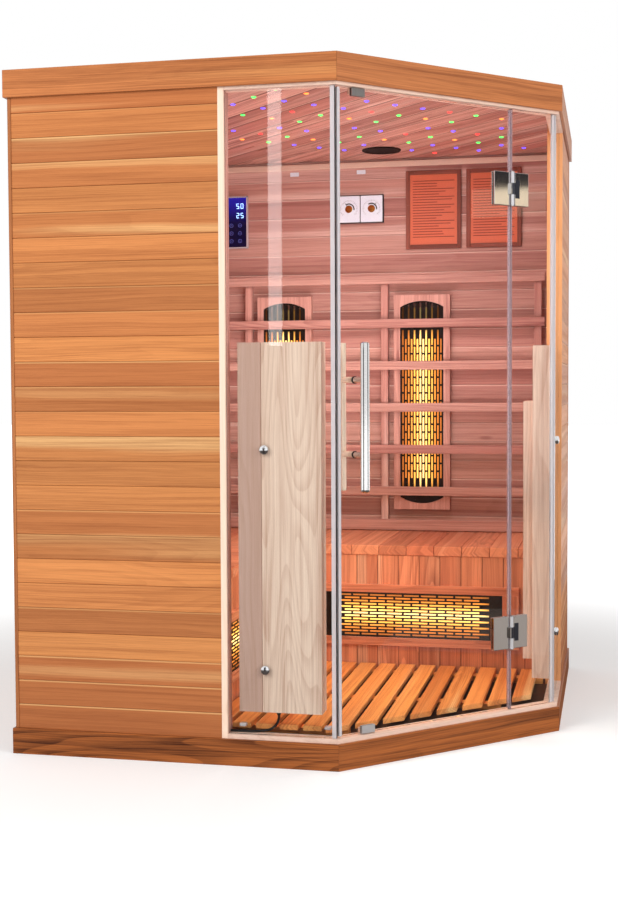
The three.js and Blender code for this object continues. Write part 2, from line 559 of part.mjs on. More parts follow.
// One wall's bench, backrest and heaters, drawn on the back wall with its inner face at y = 0.
// hand is 1 on the back wall and -1 on the left wall, where X runs the other way from the corner.
function benchSide(side, hand, turn, x, y) {
  const wall = frameAt(cabin, x, y, 0, turn);
  const span = (a, b) => [hand * a, hand * b].sort((p, q) => p - q);
  const room = WALL_IN - GAP;
  const through = hand > 0; // the back wall's bench runs into the corner, the other one stops at it

  // Seat of short boards laid from wall to front
  const [seat0, seat1] = span(through ? -room : SEAT_FRONT - WALL_IN + GAP, room);
  const top = [[seat0, SEAT_Z - SEAT_T], [seat1, SEAT_Z - SEAT_T], [seat1, SEAT_Z]];
  for (const place of boardJoints(seat0, seat1, SEAT_BOARD).reverse()) {
    top.push([place + GROOVE_W / 2, SEAT_Z], [place, SEAT_Z - GROOVE_D], [place - GROOVE_W / 2, SEAT_Z]);
  }
  top.push([seat0, SEAT_Z]);
  piece(wall, `bench_seat_${side}`, facing(outline(top), SEAT_FRONT - GAP, -GAP), innerCedar());

  // Boarded bench front with the framed window of the calf heater
  const [front0, front1] = span(BENCH_X + (through ? -FRONT_T + GAP : GAP), room);
  const plan = [[front1, -BENCH_DEPTH + FRONT_T], [front0, -BENCH_DEPTH + FRONT_T], [front0, -BENCH_DEPTH]];
  for (const place of boardJoints(front0, front1, FRONT_BOARD)) {
    plan.push([place - GROOVE_W / 2, -BENCH_DEPTH], [place, -BENCH_DEPTH + GROOVE_D],
      [place + GROOVE_W / 2, -BENCH_DEPTH]);
  }
  plan.push([front1, -BENCH_DEPTH]);
  const middle = hand * ((BENCH_X + WALL_IN) / 2);
  const lap = GROOVE_D + 1;
  const frameBack = -BENCH_DEPTH + lap;
  const lying = (geometry) => geometry.rotateY(Math.PI / 2).translate(middle, 0, CALF.centreZ);
  const boards = upright(outline(plan), WALL_BOTTOM, SEAT_Z - SEAT_T - GAP);
  const frame = lying(facing(heaterFrame(CALF), CALF.depth + lap, frameBack));
  const window = windowOutline(CALF.windowW, CALF.windowH, CALF.rise);
  const opening = lying(facing(window, 3 * FRONT_T, -BENCH_DEPTH + 2 * FRONT_T));
  piece(wall, `bench_front_${side}`, cut(join(boards, frame), opening), innerCedar());
  const calf = new THREE.Group();
  calf.position.set(middle, 0, CALF.centreZ);
  calf.rotation.y = Math.PI / 2;
  wall.add(calf);
  heaterUnit(calf, `calf_heater_${side}`, CALF, -BENCH_DEPTH - CALF.depth, CALF.depth + FRONT_T);

  // Two tall heaters on the wall
  const heaterX = [0, 1].map((i) => hand * (WALL_IN - HEATER_FROM_WALL - i * HEATER_SPACING));
  heaterX.forEach((centre, i) => {
    const name = `heater_${side}_${i + 1}`;
    const mount = frameAt(wall, centre, 0, HEATER.centreZ, 0);
    piece(mount, `${name}_frame`, facing(heaterFrame(HEATER), HEATER.depth, -GAP), innerCedar());
    heaterUnit(mount, name, HEATER, -GAP - HEATER.depth, HEATER.depth);
  });

  // Backrest: uprights on the wall, rails and slats passing in front of the heaters
  const slatBack = -BACKREST_BACK + BACKREST.lap;
  const slatFront = -BACKREST_BACK - SLAT.thickness;
  const corner = through ? -room : -WALL_IN - slatFront + GAP;
  const [back0, back1] = span(corner, WALL_IN - BACKREST.end);
  const rows = [[BACKREST.bottomRail, BACKREST.bottomRailH], [BACKREST.topRail, BACKREST.topRailH]];
  for (let i = 0; i < SLAT.count; i++) {
    rows.push([SLAT.first + i * SLAT.pitch - SLAT.height / 2, SLAT.height]);
  }
  const aside = HEATER.windowW / 2 + HEATER.stile + BACKREST.fromHeater;
  const beside = heaterX.map((centre) => centre - hand * aside);
  const inside = [hand * (corner + BACKREST.batten), hand * (WALL_IN - BACKREST.end - BACKREST.batten)];
  const battens = [...beside, ...inside].map((centre) => box(centre - BACKREST.batten / 2, -BACKREST_BACK,
    BACKREST.bottomRail, centre + BACKREST.batten / 2, -GAP, BACKREST.topRail + BACKREST.topRailH));
  const slats = rows.map(([z, height]) => box(back0, slatFront, z, back1, slatBack, z + height));
  piece(wall, `backrest_${side}`, join(...battens, ...slats), innerCedar());
}

// Pale heater columns bolted to the side glasses, with a heater on their inner face.
// They are drawn on the left glass, and hand -1 turns the same column onto the right one.
function heaterColumn(side, hand) {
  const group = frameAt(cabin, 0, 0, 0, hand > 0 ? 0 : Math.PI / 2);
  const [x0, x1] = [hand * COLUMN_X, hand * (COLUMN_X + COLUMN.width)].sort((a, b) => a - b);
  const seam = hand * (COLUMN_X + COLUMN.seam);
  const plan = [[x0, COLUMN_BACK], [seam - GROOVE_W / 2, COLUMN_BACK], [seam, COLUMN_BACK + GROOVE_D],
    [seam + GROOVE_W / 2, COLUMN_BACK], [x1, COLUMN_BACK], [x1, COLUMN_FRONT], [x0, COLUMN_FRONT]];
  const casing = upright(outline(plan), COLUMN.bottom, COLUMN.top);
  const lap = 1;
  const middle = (x0 + x1) / 2;
  const facingIn = (geometry) => geometry.rotateZ(Math.PI).translate(middle, COLUMN_FRONT, COLUMN.heaterZ);
  const frame = facingIn(facing(heaterFrame(HEATER), HEATER.depth + lap, lap));
  piece(group, `column_${side}`, join(casing, frame), hemlock());
  const mount = frameAt(group, middle, COLUMN_FRONT, COLUMN.heaterZ, Math.PI);
  heaterUnit(mount, `column_${side}`, HEATER, -HEATER.depth, HEATER.depth);
}

// Control panel and the twin thermometer and hygrometer on the back wall, speaker in the ceiling
function fittings() {
  const wall = frameAt(cabin, 0, WALL_IN, 0, 0);
  const left = -WALL_IN + PANEL.fromWall;
  const c = PANEL.corner;
  const plate = (inset) => {
    const [x0, z0] = [left + inset, PANEL_BOTTOM + inset];
    const [x1, z1] = [left + PANEL.width - inset, PANEL_BOTTOM + PANEL.height - inset];
    return outline([[x0 + c, z0], [x1 - c, z0], [x1, z0 + c], [x1, z1 - c], [x1 - c, z1], [x0 + c, z1],
      [x0, z1 - c], [x0, z0 + c]]);
  };
  const screen = facing(plate(PANEL.lip), PANEL.recess + 1, -GAP - PANEL.depth + PANEL.recess);
  piece(wall, 'control_panel', cut(facing(plate(0), PANEL.depth, -GAP), screen), plastic(0x10131f, 0.2));

  const front = -GAP - DIAL.depth;
  const casing = outline(rectangle(-DIAL.width, 0, DIAL.width, DIAL.height));
  const centres = [-DIAL.width / 2, DIAL.width / 2];
  const level = DIAL.height / 2;
  const recesses = centres.map((x) => dowel(DIAL.recessR, x, front - 1, front + DIAL.recess, level, 20));
  const raised = centres.flatMap((x) => {
    const floor = front + DIAL.recess;
    const half = DIAL.needle.width / 2;
    const needle = box(-half, floor - DIAL.needle.height, 0, half, floor + 1, DIAL.needle.length)
      .rotateY(-Math.PI / 4).translate(x, 0, level);
    return [dowel(DIAL.hubR, x, floor - DIAL.hub, floor + 1, level), needle];
  });
  const instrument = join(cut(facing(casing, DIAL.depth, -GAP), ...recesses), ...raised);
  piece(wall, 'twin_dial', instrument.translate(DIAL.fromMiddle, 0, DIAL_BOTTOM), plastic(0xf2f4f6, 0.3));

  const { flangeR, basketR, coneR, rim } = SPEAKER;
  const seat = CEILING_Z - GAP;
  const face = seat - SPEAKER.flangeT;
  const cone = face + SPEAKER.dish;
  const back = seat + SPEAKER.basketH;
  const profile = [[0, cone], [coneR, cone], [basketR, face], [flangeR - rim, face], [flangeR, seat - rim],
    [flangeR, seat], [basketR, seat], [basketR, back], [0, back]];
  const lathe = new THREE.LatheGeometry(profile.map(([r, y]) => new THREE.Vector2(r, y)), 16);
  const speaker = lathe.rotateX(Math.PI / 2).translate(SPEAKER.x, WALL_IN - SPEAKER.fromWall, 0);
  piece(cabin, 'speaker', speaker, plastic(0x17181a, 0.5));
}

// Duckboard: slats on three battens, trimmed to the floor between the benches and the glass
function duckboard() {
  const edge = Math.max(SILL.inset + SILL.width, WALL_INSET + WALL_T) + DUCKBOARD.margin;
  const left = BENCH_X + DUCKBOARD.clear;
  const back = -BENCH_X - DUCKBOARD.clear;
  const front = -HALF + edge;
  const right = HALF - edge;
  const slatBottom = DUCKBOARD.top - DUCKBOARD.slatT;
  const parts = [];
  const count = Math.floor((right - left + DUCKBOARD.pitch - DUCKBOARD.slat) / DUCKBOARD.pitch);
  for (let i = 0; i < count; i++) {
    const x = left + i * DUCKBOARD.pitch;
    parts.push(box(x, front, slatBottom, x + DUCKBOARD.slat, back, DUCKBOARD.top));
  }
  for (const share of DUCKBOARD.battens) {
    const y = front + share * (back - front);
    parts.push(box(left, y - DUCKBOARD.batten / 2, WALL_BOTTOM, right, y + DUCKBOARD.batten / 2,
      slatBottom + DUCKBOARD.lap));
  }
  const trimmed = common(join(...parts), upright(outline(pentagon(edge)), 0, DUCKBOARD.top + 1));
  piece(cabin, 'duckboard', trimmed, wood(0xf08c3c));
}

// Black supply lead of the left column: out of the jamb, along the sill and up into the column's gland
function columnLead() {
  const sillY = -HALF + GLASS_BACK + LEAD_IN;
  const rest = SILL_TOP + LEAD_R + GAP;
  const glandX = COLUMN_X + GLAND.fromEdge;
  const glandY = (COLUMN_BACK + COLUMN_FRONT) / 2;
  const glandBottom = COLUMN.bottom - GAP - GLAND.length;
  const start = JAMB_X + GAP;
  const run = [[start, sillY, rest], [start + 12, sillY, rest], [start + 40, sillY + 1, rest],
    [start + 70, sillY + 2, rest + 0.5], [glandX - 22, (sillY + glandY) / 2, rest + 6],
    [glandX - 5, glandY, rest + 22], [glandX, glandY, glandBottom - 8], [glandX, glandY, glandBottom - GAP]];
  const path = new THREE.CatmullRomCurve3(run.map((p) => new THREE.Vector3(...p)), false, 'centripetal');
  const ring = new THREE.Shape();
  ring.absarc(0, 0, LEAD_R, 0, Math.PI * 2);
  const tube = new THREE.ExtrudeGeometry(ring, { steps: 12, extrudePath: path, curveSegments: 4 });
  piece(cabin, 'lead', tube, plastic(0x141414, 0.5));
  const gland = pole(GLAND.radius, glandBottom, COLUMN.bottom - GAP, 12).translate(glandX, glandY, 0);
  piece(cabin, 'lead_gland', gland, plastic(0x1c1c1c, 0.5));
}

floorPlatform();
roof();
walls();
sideGlazing();
sillAndHead();
doorAndStrip();
hinges();
handle();
strikeClips();
benchSide('back', 1, 0, 0, WALL_IN);
benchSide('left', -1, Math.PI / 2, -WALL_IN, 0);
heaterColumn('left', 1);
heaterColumn('right', -1);
fittings();
duckboard();
columnLead();

export default cabin;
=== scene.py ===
import math

import bpy
import numpy as np
from mathutils import Matrix, Vector


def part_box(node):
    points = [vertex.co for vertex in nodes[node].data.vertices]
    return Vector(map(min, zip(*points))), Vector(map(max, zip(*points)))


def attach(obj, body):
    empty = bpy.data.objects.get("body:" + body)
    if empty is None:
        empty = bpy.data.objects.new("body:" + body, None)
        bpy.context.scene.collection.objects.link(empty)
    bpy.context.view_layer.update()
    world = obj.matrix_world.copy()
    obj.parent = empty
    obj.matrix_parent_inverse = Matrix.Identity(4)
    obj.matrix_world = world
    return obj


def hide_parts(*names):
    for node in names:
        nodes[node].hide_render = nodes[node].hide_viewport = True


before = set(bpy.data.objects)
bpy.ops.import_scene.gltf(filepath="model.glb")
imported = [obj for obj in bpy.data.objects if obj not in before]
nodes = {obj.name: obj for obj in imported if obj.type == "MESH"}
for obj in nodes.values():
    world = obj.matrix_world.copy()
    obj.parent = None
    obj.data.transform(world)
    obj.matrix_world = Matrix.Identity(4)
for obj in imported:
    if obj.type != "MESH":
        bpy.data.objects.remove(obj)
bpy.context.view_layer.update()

mm = 0.001
root2 = math.sqrt(2)
quarter = math.pi / 2
xAxis, yAxis, zAxis = (1, 0, 0), (0, 1, 0), (0, 0, 1)
seed = np.random.default_rng(41)
scene = bpy.context.scene


def lengths(**sizes):
    # millimetres to metres
    return {name: size * mm for name, size in sizes.items()}


def srgb(r, g, b):
    # screen colour 0-255 to linear light
    c = np.array([r, g, b]) / 255
    return tuple(np.where(c <= 0.04045, c / 12.92, ((c + 0.055) / 1.055) ** 2.4)) + (1.0,)


def basis(origin, right, up, out):
    # local X, Y and Z directions and an origin as one matrix
    m = Matrix((Vector(right), Vector(up), Vector(out))).transposed().to_4x4()
    m.translation = Vector(origin)
    return m


# camera, from the photograph's vanishing lines
cameraView = dict(place=(0.8973, -4.2998, 1.0336), yaw=-0.2178, pitch=0.0462, roll=-0.0046,
                  focalPixels=1371.25, pictureHigh=897, sensor=36.0, clip=(0.05, 100))


def makeCamera(v):
    # yaw round the upright, then pitch, then roll
    yaw, pitch, roll = v["yaw"], v["pitch"], v["roll"]
    up = Vector(zAxis)
    side = Vector((math.cos(yaw), -math.sin(yaw), 0))
    ahead = Vector((math.sin(yaw), math.cos(yaw), 0))
    look = ahead * math.cos(pitch) - up * math.sin(pitch)
    top = up * math.cos(pitch) + ahead * math.sin(pitch)
    right = side * math.cos(roll) + top * math.sin(roll)
    upright = top * math.cos(roll) - side * math.sin(roll)
    data = bpy.data.cameras.new("photoCamera")
    data.sensor_fit = "AUTO"
    data.sensor_width = v["sensor"]
    data.lens = v["focalPixels"] / v["pictureHigh"] * v["sensor"]
    data.clip_start, data.clip_end = v["clip"]
    camera = bpy.data.objects.new("photoCamera", data)
    scene.collection.objects.link(camera)
    camera.matrix_world = basis(v["place"], right, upright, -look)
    scene.camera = camera


makeCamera(cameraView)
print("camera set")


# mesh making: a shape is its points, its faces as blocks of indices, its uv and its tone
sharpFrom = math.radians(30)
grainSpan = 7  # metres of grain that boards are cut from
leastRound = 0.05  # share of a board's round that is left at its ends


def turned(shape, matrix):
    # the same shape moved by a matrix
    m = np.array(matrix)
    points, faces, uv, tone = shape
    return points @ m[:3, :3].T + m[:3, 3], faces, uv, tone


def makePiece(name, shapes, material, body="cabin", replaced=(), smooth=True, place=None):
    # all shapes in one mesh, with a uv map and a tone for each board
    if place is not None:
        shapes = [turned(shape, place) for shape in shapes]
    starts = np.cumsum([0] + [len(shape[0]) for shape in shapes])
    points = np.concatenate([shape[0] for shape in shapes])
    uv = np.concatenate([shape[2] for shape in shapes])
    tone = np.repeat([shape[3] for shape in shapes], np.diff(starts))
    faces = []
    for shape, start in zip(shapes, starts):
        for block in shape[1]:
            faces += (block + start).tolist()
    mesh = bpy.data.meshes.new(name)
    mesh.from_pydata(points.tolist(), [], faces)
    loops = np.empty(len(mesh.loops), int)
    mesh.loops.foreach_get("vertex_index", loops)
    mesh.uv_layers.new(name="UVMap").data.foreach_set("uv", uv[loops].astype(np.float32).ravel())
    mesh.attributes.new("tone", "FLOAT", "POINT").data.foreach_set("value", tone.astype(np.float32))
    mesh.materials.append(material)
    if smooth:
        mesh.polygons.foreach_set("use_smooth", np.ones(len(mesh.polygons), bool))
        mesh.set_sharp_from_angle(angle=sharpFrom)
    mesh.validate()
    piece = bpy.data.objects.new(name, mesh)
    if smooth:
        piece.modifiers.new("flatFaces", "WEIGHTED_NORMAL").keep_sharp = True
    scene.collection.objects.link(piece)
    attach(piece, body)
    if replaced:
        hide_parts(*replaced)
    return piece


def gridFaces(rows, columns):
    # quads between neighbouring rows of a grid whose columns wrap round
    i = np.arange(rows - 1)[:, None] * columns
    j = np.arange(columns)[None]
    k = (j + 1) % columns
    return np.stack([i + j, i + k, i + columns + k, i + columns + j], -1).reshape(-1, 4)


def tubeFaces(rows, columns):
    # the grid's quads, and one face over each open end
    ring = np.arange(columns)[None]
    return [gridFaces(rows, columns), ring[:, ::-1], ring + (rows - 1) * columns]


def walkAlong(points):
    # distance from the first point along a line of points
    return np.concatenate([[0], np.cumsum(np.linalg.norm(np.diff(points, axis=0), axis=1))])


def circle(radius, count):
    angle = np.linspace(0, 2 * math.pi, count, endpoint=False)
    return radius * np.c_[np.cos(angle), np.sin(angle)]


def roundedOutline(halfA, halfB, radius, steps):
    # rectangle with round corners, anticlockwise: four arcs of equal steps
    angle = np.linspace(0, quarter, steps + 1) + np.arange(4)[:, None] * quarter
    sideA, sideB = np.array([(1, -1, -1, 1), (1, 1, -1, -1)])[:, :, None]
    return np.stack([sideA * (halfA - radius) + radius * np.cos(angle),
                     sideB * (halfB - radius) + radius * np.sin(angle)], -1).reshape(-1, 2)


def grainShift():
    # where on the endless grain a board was cut
    return seed.random(2) * grainSpan


def board(low, high, axis, radius=1.5 * mm, steps=2):
    # a rounded rectangle carried along an axis, its ends drawn in on a quarter round
    low, high = np.array(low, float), np.array(high, float)
    order = [axis, (axis + 1) % 3, (axis + 2) % 3]
    half, centre = (high - low) / 2, (high + low) / 2
    turn = np.linspace(0, quarter, steps + 1)
    inset, back = radius * (1 - np.sin(turn)), radius * (1 - np.cos(turn))
    place = np.concatenate([-half[axis] + back, half[axis] - back[::-1]])
    rings = np.array([roundedOutline(half[order[1]] - d, half[order[2]] - d, max(radius - d, radius * leastRound),
                                     steps) for d in np.concatenate([inset, inset[::-1]])])
    count = rings.shape[1]
    flat = np.c_[np.repeat(place, count), rings.reshape(-1, 2)]
    points = np.empty_like(flat)
    points[:, order] = flat + centre[order]
    uv = np.c_[flat[:, 0], np.tile(walkAlong(rings[steps]), len(place))] + grainShift()
    return points, tubeFaces(len(place), count), uv, seed.random()


def lathe(profile, sides, matrix=Matrix()):
    # a profile of (radius, height) points turned round local Z, closed on the axis at both ends
    profile = np.array(profile, float)
    body = profile[1:-1]
    round = circle(1, sides)
    ring = np.c_[(body[:, None, :1] * round).reshape(-1, 2), np.repeat(body[:, 1], sides)]
    points = np.concatenate([ring, [[0, 0, profile[0, 1]], [0, 0, profile[-1, 1]]]])
    j = np.arange(sides)
    k, first, top = (j + 1) % sides, len(ring), len(ring) - sides
    fans = [np.stack([0 * j + first, k, j], -1), np.stack([0 * j + first + 1, top + j, top + k], -1)]
    return turned((points, [gridFaces(len(body), sides)] + fans, points[:, [0, 2]], 0.5), matrix)


def rod(start, end, radius, sides=24, edge=0.6 * mm):
    # round bar between two points with a small chamfer at each end
    start, end = Vector(start), Vector(end)
    length = (end - start).length
    profile = [(0, 0), (radius - edge, 0), (radius, edge)]
    profile += [(r, length - h) for r, h in profile[::-1]]
    matrix = (end - start).to_track_quat("Z", "Y").to_matrix().to_4x4()
    matrix.translation = start
    return lathe(profile, sides, matrix)


def plate(outline, low, high, matrix=Matrix()):
    # flat outline in local XY raised from low to high along local Z
    count = len(outline)
    points = np.c_[np.tile(outline, (2, 1)), np.repeat([low, high], count)]
    return turned((points, tubeFaces(2, count), points[:, :2], 0.5), matrix)


def bars(boxes, matrix=Matrix()):
    # many plain bars at once, each (low corner, high corner)
    boxes = np.array(boxes, float)
    pick = np.array([[0, 0, 0], [1, 0, 0], [1, 1, 0], [0, 1, 0], [0, 0, 1], [1, 0, 1], [1, 1, 1], [0, 1, 1]])
    points = np.where(pick[None], boxes[:, None, 1], boxes[:, None, 0]).reshape(-1, 3)
    six = np.array([[3, 2, 1, 0], [4, 5, 6, 7], [0, 1, 5, 4], [1, 2, 6, 5], [2, 3, 7, 6], [3, 0, 4, 7]])
    faces = (np.arange(len(boxes))[:, None, None] * 8 + six[None]).reshape(-1, 4)
    return turned((points, [faces], points[:, [0, 2]], 0.5), matrix)


def frameBoards(x0, x1, y0, y1, z0, z1, side, end, radius, lap=0.0):
    # four boards round a rectangle: two full-length sides, then two ends between them, or lapped over them
    return [board((x0, y0, z0), (x0 + side, y1, z1), 1, radius), board((x1 - side, y0, z0), (x1, y1, z1), 1, radius),
            board((x0 + side - lap, y0, z0), (x1 - side + lap, y0 + end, z1), 0, radius),
            board((x0 + side - lap, y1 - end, z0), (x1 - side + lap, y1, z1), 0, radius)]


def dome(radius, height, foot, rim=0.0, steps=8):
    # profile of a flattened half ball on a straight rim
    angle = np.linspace(0, quarter, steps + 1)[:-1]
    round = zip(radius * np.cos(angle), height * np.sin(angle) + rim)
    return [(0, foot), (radius, foot)] + list(round) + [(0, height + rim)]


def boxArrays(node):
    return [np.array(v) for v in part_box(node)]


def spanned(low, high, spans):
    # a box with some of its spans changed: axis, then from and to
    low, high = low.copy(), high.copy()
    for axis, span in spans.items():
        low[axis], high[axis] = sorted(span)
    return low, high


# footprint with its front face, and the door's diagonal line: X along it, Y inwards, Z up
corner = dict(side=1.5, face=0.94)
alongDoor, intoCabin, outOfDoor = (1 / root2, 1 / root2, 0), (-1 / root2, 1 / root2, 0), (1 / root2, -1 / root2, 0)
doorLine = basis((corner["face"] - corner["side"] / 2, -corner["side"] / 2, 0), alongDoor, intoCabin, zAxis)


# materials
def newMaterial(name):
    material = bpy.data.materials.new(name)
    material.use_nodes = True
    tree = material.node_tree
    return material, tree, tree.nodes["Principled BSDF"]


def feed(node, values):
    # a plain value goes on the socket itself, another node's output is linked
    for socket, value in values.items():
        if isinstance(value, bpy.types.NodeSocket):
            node.id_data.links.new(value, node.inputs[socket])
        else:
            node.inputs[socket].default_value = value


def addNode(tree, kind, values={}, **settings):
    node = tree.nodes.new("ShaderNode" + kind)
    for name, setting in settings.items():
        setattr(node, name, setting)
    feed(node, values)
    return node.outputs


def linked(kind, values, **settings):
    # a node in the tree that its first linked value comes from
    tree = next(v.id_data for v in values.values() if isinstance(v, bpy.types.NodeSocket))
    return addNode(tree, kind, values, **settings)


def maths(operation, *values):
    return linked("Math", dict(enumerate(values)), operation=operation)[0]


def mixColours(factor, a, b):
    return linked("Mix", {0: factor, 6: a, 7: b}, data_type="RGBA")[2]


def rise(value, start, end, low=0.0, high=1.0):
    # smooth step from low to high between two values
    return linked("MapRange", dict(enumerate((value, start, end, low, high))), interpolation_type="SMOOTHSTEP")[0]


def noise(vector, scale, detail, rough=0.5):
    return linked("TexNoise", dict(Vector=vector, Scale=scale, Detail=detail, Roughness=rough))["Fac"]


def chance(value):
    # one random number for each value
    return linked("TexWhiteNoise", dict(W=value), noise_dimensions="1D")["Value"]


def objectCoords(tree):
    return addNode(tree, "TexCoord")["Object"]


def ownUv(tree):
    return addNode(tree, "UVMap", uv_map="UVMap")[0]


def parts(vector):
    return linked("SeparateXYZ", {0: vector})


def combine(*levels):
    return linked("CombineXYZ", dict(enumerate(levels)))[0]


def dot(vector, axis):
    return linked("VectorMath", {0: vector, 1: axis}, operation="DOT_PRODUCT")["Value"]


def bumpUp(shader, height, strength, distance):
    feed(shader, {"Normal": linked("Bump", dict(Strength=strength, Distance=distance, Height=height))[0]})


def clearWhere(shader, factor, tint=(1, 1, 1, 1)):
    # the surface turns clear where the factor is 1
    tree = shader.id_data
    clear = addNode(tree, "BsdfTransparent", {"Color": tint})[0]
    mixed = addNode(tree, "MixShader", {0: factor, 1: shader.outputs[0], 2: clear})[0]
    feed(tree.nodes["Material Output"], {"Surface": mixed})


def newGroup(name, inputs, outputs):
    # an input is a float, a colour or, where nothing is given, a vector
    kinds = {float: "Float", tuple: "Color", type(None): "Vector"}
    group = bpy.data.node_groups.new(name, "ShaderNodeTree")
    for socket, value in inputs.items():
        made = group.interface.new_socket(socket, in_out="INPUT", socket_type="NodeSocket" + kinds[type(value)])
        if value is not None:
            made.default_value = value
    for socket, kind in outputs.items():
        group.interface.new_socket(socket, in_out="OUTPUT", socket_type="NodeSocket" + kind)
    return group, group.nodes.new("NodeGroupInput").outputs, group.nodes.new("NodeGroupOutput")


cedarFigure = dict(
    # stretch along and across the board, shift from board to board, detail and roughness of each noise
    noises=dict(wander=(1.3, 9.0, 17.0, 2.0, 0.55), broad=(0.55, 30.0, 23.0, 2.0, 0.55),
                middle=(1.6, 120.0, 31.0, 3.0, 0.65), fibre=(11.0, 760.0, 11.0, 3.0, 0.7),
                field=(1.0, 10.0, 41.0, 1.0, 0.4), sap=(0.4, 13.0, 61.0, 1.0, 0.55), knots=(3.0, 11.0, 71.0)),
    # where each mask begins and ends
    steps=dict(broad=(0.38, 0.68), middle=(0.42, 0.66), lines=(0.1, 1.0), fibre=(0.4, 0.75), archUp=(0.3, 0.95),
               archDown=(0.95, 1.0), archBoards=(0.45, 0.85), sap=(0.56, 0.68), sapBoards=(0.3, 0.9),
               knot=(0.03, 0.1), knotCells=(0.8, 0.84)),
    # share of each mask in the dark figure
    weights=dict(broad=0.32, middle=0.42, lines=0.16, fibre=0.34), boardShift=dict(archBoards=3.1, sapBoards=7.7),
    slant=1.7, wander=0.035, linesAcross=1150.0, linesBend=9.0, archCount=16.0, sapShare=0.75, swing=0.3,
    heightLines=0.3, heightFibre=0.7, rough=0.34, roughFibre=0.2, roughBroad=0.08)


def makeGrainGroup(f):
    # straight-grained cedar: noise stretched along the board for broad streaks, close growth lines and fibres,
    # contour lines of a slower noise on some boards, a pale edge and a few small knots
    brown = (0.5, 0.3, 0.2, 1.0)
    g, inp, out = newGroup("woodFigure", dict(
        Vector=None, Tone=0.5, Light=brown, Dark=brown, Blush=brown, Pale=brown, Contrast=0.5, Variety=0.5,
        Knots=0.5, Arches=0.4), dict(Color="Color", Height="Float", Roughness="Float"))
    tone = inp["Tone"]
    along, across, deep = parts(inp["Vector"])

    def stretched(name, level):
        # coordinates in which a round blot of noise is a long streak, moved on for each board
        alongScale, acrossScale, shift = f["noises"][name][:3]
        return combine(maths("MULTIPLY_ADD", along, alongScale, maths("MULTIPLY", tone, shift)),
                       maths("MULTIPLY_ADD", level, acrossScale, maths("MULTIPLY", tone, shift * f["slant"])),
                       maths("MULTIPLY", deep, acrossScale))

    def streaks(name, level):
        return noise(stretched(name, level), 1.0, *f["noises"][name][3:])

    def step(name, value):
        return rise(value, *f["steps"][name])

    def boards(name):
        # only some boards have it
        return step(name, chance(maths("ADD", tone, f["boardShift"][name])))

    wander = maths("SUBTRACT", streaks("wander", across), 0.5)
    level = maths("MULTIPLY_ADD", wander, f["wander"], across)
    middle, fibre = streaks("middle", level), streaks("fibre", across)
    bend = maths("MULTIPLY", middle, f["linesBend"])
    lines = maths("SINE", maths("MULTIPLY_ADD", level, f["linesAcross"], bend))
    masks = dict(broad=step("broad", streaks("broad", level)), middle=step("middle", middle),
                 lines=step("lines", lines), fibre=step("fibre", fibre))
    phase = maths("FRACT", maths("MULTIPLY", streaks("field", level), f["archCount"]))
    arch = maths("MULTIPLY", step("archUp", phase), maths("SUBTRACT", 1.0, step("archDown", phase)))
    figure = maths("MULTIPLY", maths("MULTIPLY", arch, boards("archBoards")), inp["Arches"])
    for name, weight in f["weights"].items():
        figure = maths("MULTIPLY_ADD", masks[name], weight, figure)
    wood = mixColours(maths("MULTIPLY", tone, inp["Variety"]), inp["Light"], inp["Blush"])
    sap = maths("MULTIPLY", step("sap", streaks("sap", level)), boards("sapBoards"))
    wood = mixColours(maths("MULTIPLY", sap, f["sapShare"]), wood, inp["Pale"])
    wood = mixColours(maths("MULTIPLY", figure, inp["Contrast"]), wood, inp["Dark"])
    cell = linked("TexVoronoi", dict(Scale=1.0, Vector=stretched("knots", across)))
    pick = linked("SeparateColor", {0: cell["Color"]})[0]
    knot = maths("SUBTRACT", 1.0, step("knot", cell["Distance"]))
    knot = maths("MULTIPLY", knot, maths("MULTIPLY", step("knotCells", pick), inp["Knots"]))
    wood = mixColours(knot, wood, inp["Dark"])
    swing = maths("SUBTRACT", chance(tone), 0.5)
    value = maths("MULTIPLY_ADD", swing, maths("MULTIPLY", inp["Variety"], f["swing"]), 1.0)
    wood = linked("HueSaturation", dict(Value=value, Color=wood))[0]
    height = maths("MULTIPLY_ADD", masks["lines"], f["heightLines"], maths("MULTIPLY", fibre, f["heightFibre"]))
    rough = maths("MULTIPLY_ADD", fibre, f["roughFibre"], f["rough"])
    rough = maths("MULTIPLY_ADD", masks["broad"], f["roughBroad"], rough)
    feed(out, dict(Color=wood, Height=height, Roughness=rough))
    return g


grainGroup = makeGrainGroup(cedarFigure)
woods = dict(  # light, dark, blush and pale of each wood
    outer=((220, 146, 84), (132, 66, 30), (184, 108, 62), (244, 194, 132)),
    rim=((196, 122, 70), (104, 48, 20), (172, 98, 60), (212, 146, 88)),
    inner=((209, 166, 152), (122, 64, 60), (180, 120, 111), (248, 222, 210)),
    ceiling=((240, 194, 176), (126, 62, 56), (202, 134, 120), (252, 226, 210)),
    bench=((234, 159, 120), (125, 59, 42), (205, 121, 90), (248, 195, 160)),
    cream=((247, 221, 199), (206, 168, 142), (226, 190, 168), (253, 240, 226)),
    edge=((238, 172, 118), (160, 92, 50), (216, 146, 96), (248, 206, 160)),
    frame=((146, 82, 66), (80, 38, 30), (122, 62, 50), (172, 106, 88)),
    pale=((236, 209, 190), (190, 149, 129), (203, 164, 150), (247, 230, 215)),
    plinth=((180, 102, 48), (70, 30, 10), (144, 74, 32), (206, 130, 68)),
    slats=((246, 174, 98), (164, 80, 37), (226, 133, 68), (252, 210, 147)))
palettes = {wood: dict(zip(("Light", "Dark", "Blush", "Pale"), [srgb(*c) for c in colours]))
            for wood, colours in woods.items()}
woodFinish = {"Specular IOR Level": 0.3, "Coat Roughness": 0.25}
woodBump = dict(strength=0.25, distance=0.6 * mm)
# where on each plank the painted highlight under the joint and the painted shade in the groove fall
plankJoint = dict(catchFrom=0.92, catchTo=0.97, rarity=2.0, rarityInside=0.4, shadeDarkness=0.4, firstPlank=0.37)


